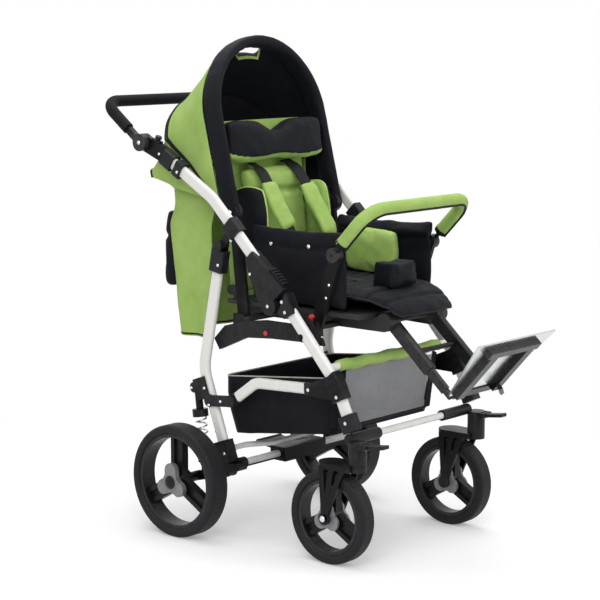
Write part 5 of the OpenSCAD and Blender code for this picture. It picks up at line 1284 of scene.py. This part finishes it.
def domes(name, body, onNodes, places, radius, height, material, sides=(-1, 1)):
    profile = [(-0.0006, 0.0), (-0.0006, radius), (height * 0.25, radius), (height * 0.7, radius * 0.8),
               (height, radius * 0.42), (height, 0.0)]
    heads(name, body, [nodes[node] for node in onNodes], places, profile, material, sides)


rearHub, frontHub = (0, 0.135), (-0.421, 0.1085)
domes("upperRivets", "upper_frame", ["upper_fittings"],
      [(0.1209, 0.9004), (0.0480, 0.8615), (-0.1232, 0.7123), (-0.1838, 0.6397)], 0.0036, 0.0020, steel)
domes("handleBolts", "upper_frame", ["upper_fittings"], [(0.1750, 0.926)], 0.0050, 0.0026, steel)
domes("rearRivets", "rear_frame", ["rear_fittings"],
      [(-0.0830, 0.6518), (0.0060, 0.3500), (-0.0363, 0.3542), (-0.0507, 0.3151), (-0.0882, 0.3287),
       (-0.1000, 0.2050)], 0.0038, 0.0022, steel)
domes("rearScrews", "rear_frame", ["rear_legs"], [(-0.0601, 0.2769), (-0.0677, 0.2539)],
      0.0024, 0.0012, steel)
domes("linkRivets", "side_links", ["link_eyes"], [(-0.117, 0.333)], 0.0042, 0.0024, steel)
domes("postRivets", "chassis", ["seat_plates", "seat_base"],
      [(-0.3693, 0.6250), (-0.3605, 0.5945), (-0.1254, 0.5314)], 0.0036, 0.0020, steel)
domes("legStuds", "chassis", ["front_legs"], [(-0.3338, 0.5093)], 0.0070, 0.0050, foamBlack)
domes("bumperRivets", "bumper", ["bumper_bar"], [bumper["joint"]], 0.0046, 0.0026, steel)
domes("plateButtons", "chassis", ["seat_plates"], [(-0.2039, 0.5007)], 0.0060, 0.0040, redPlastic)
for name, body, node, hub, radius, height, material in [
        ("rearHubDisc_", "rear_wheel_", "rear_cap_", rearHub, 0.0165, 0.0030, rimBlack),
        ("frontHubDisc_", "front_wheel_", "front_cap_", frontHub, 0.0120, 0.0020, rimBlack),
        ("axleNut_", "caster_", "caster_fork_", frontHub, 0.0075, 0.0045, steel)]:
    for side, end in ((-1, "r"), (1, "l")):
        domes(name + end, body + end, [node + end], [hub], radius, height, material, (side,))
studProfile = [(-0.001, 0.0), (-0.001, 0.0052), (0.0012, 0.0050), (0.0024, 0.0036), (0.0028, 0.0)]
heads("panelStuds", "chassis", sidePanels, [(-0.182, 0.704), (-0.298, 0.706)], studProfile, steel, (-1, 1))

print("stage: floor and lamps")
white = (1, 1, 1)


def seenRays(tree):
    path = addNode(tree, "LightPath")
    first = mathNode(tree, "MAXIMUM", path["Is Camera Ray"], path["Is Glossy Ray"])
    return mathNode(tree, "MAXIMUM", first, path["Is Transmission Ray"])


clearSelection()
bpy.ops.mesh.primitive_plane_add(size=40)
floor = bpy.context.object
floor.name = "floor"
floorFinish = bpy.data.materials.new("floorFinish")
tree = emptyTree(floorFinish)
seen = seenRays(tree)
matt = addNode(tree, "BsdfDiffuse", {"Color": (0.86, 0.86, 0.865)})[0]
glow = addNode(tree, "Emission", {"Color": white, "Strength": mathNode(tree, "MULTIPLY", seen, 0.26)})[0]
both = addNode(tree, "AddShader", {0: matt, 1: glow})[0]
plain = addNode(tree, "Emission", {"Color": white, "Strength": 1.0})[0]
away = addNode(tree, "VectorMath", {0: addNode(tree, "TexCoord")["Object"]}, operation="LENGTH")["Value"]
fade = addNode(tree, "MapRange", {0: away, 1: 0.55, 2: 1.5}, interpolation_type="SMOOTHSTEP")[0]
whole = addNode(tree, "MixShader", {0: mathNode(tree, "MULTIPLY", fade, seen), 1: both, 2: plain})[0]
addNode(tree, "OutputMaterial", {"Surface": whole})
paint(floor, floorFinish)
world = bpy.data.worlds.new("world")
scene.world = world
tree = emptyTree(world)
strength = mathNode(tree, "MULTIPLY_ADD", seenRays(tree), 0.5, 0.5)
sky = addNode(tree, "Background", {"Color": white, "Strength": strength})[0]
addNode(tree, "OutputWorld", {"Surface": sky})
lamps = {"key": {"place": (-2.6, -1.6, 2.6), "size": 1.8, "power": 46},
         "over": {"place": (0.3, 0.2, 3.1), "size": 2.4, "power": 48},
         "side": {"place": (1.4, -2.9, 1.7), "size": 1.6, "power": 14}}
lampTarget = Vector((0, 0, 0.55))
for name, look in lamps.items():
    data = bpy.data.lights.new(name, "AREA")
    data.energy = look["power"]
    data.size = look["size"]
    lamp = newObject(name, data)
    lamp.location = look["place"]
    aim(lamp, lampTarget - lamp.location)

print("stage: done")
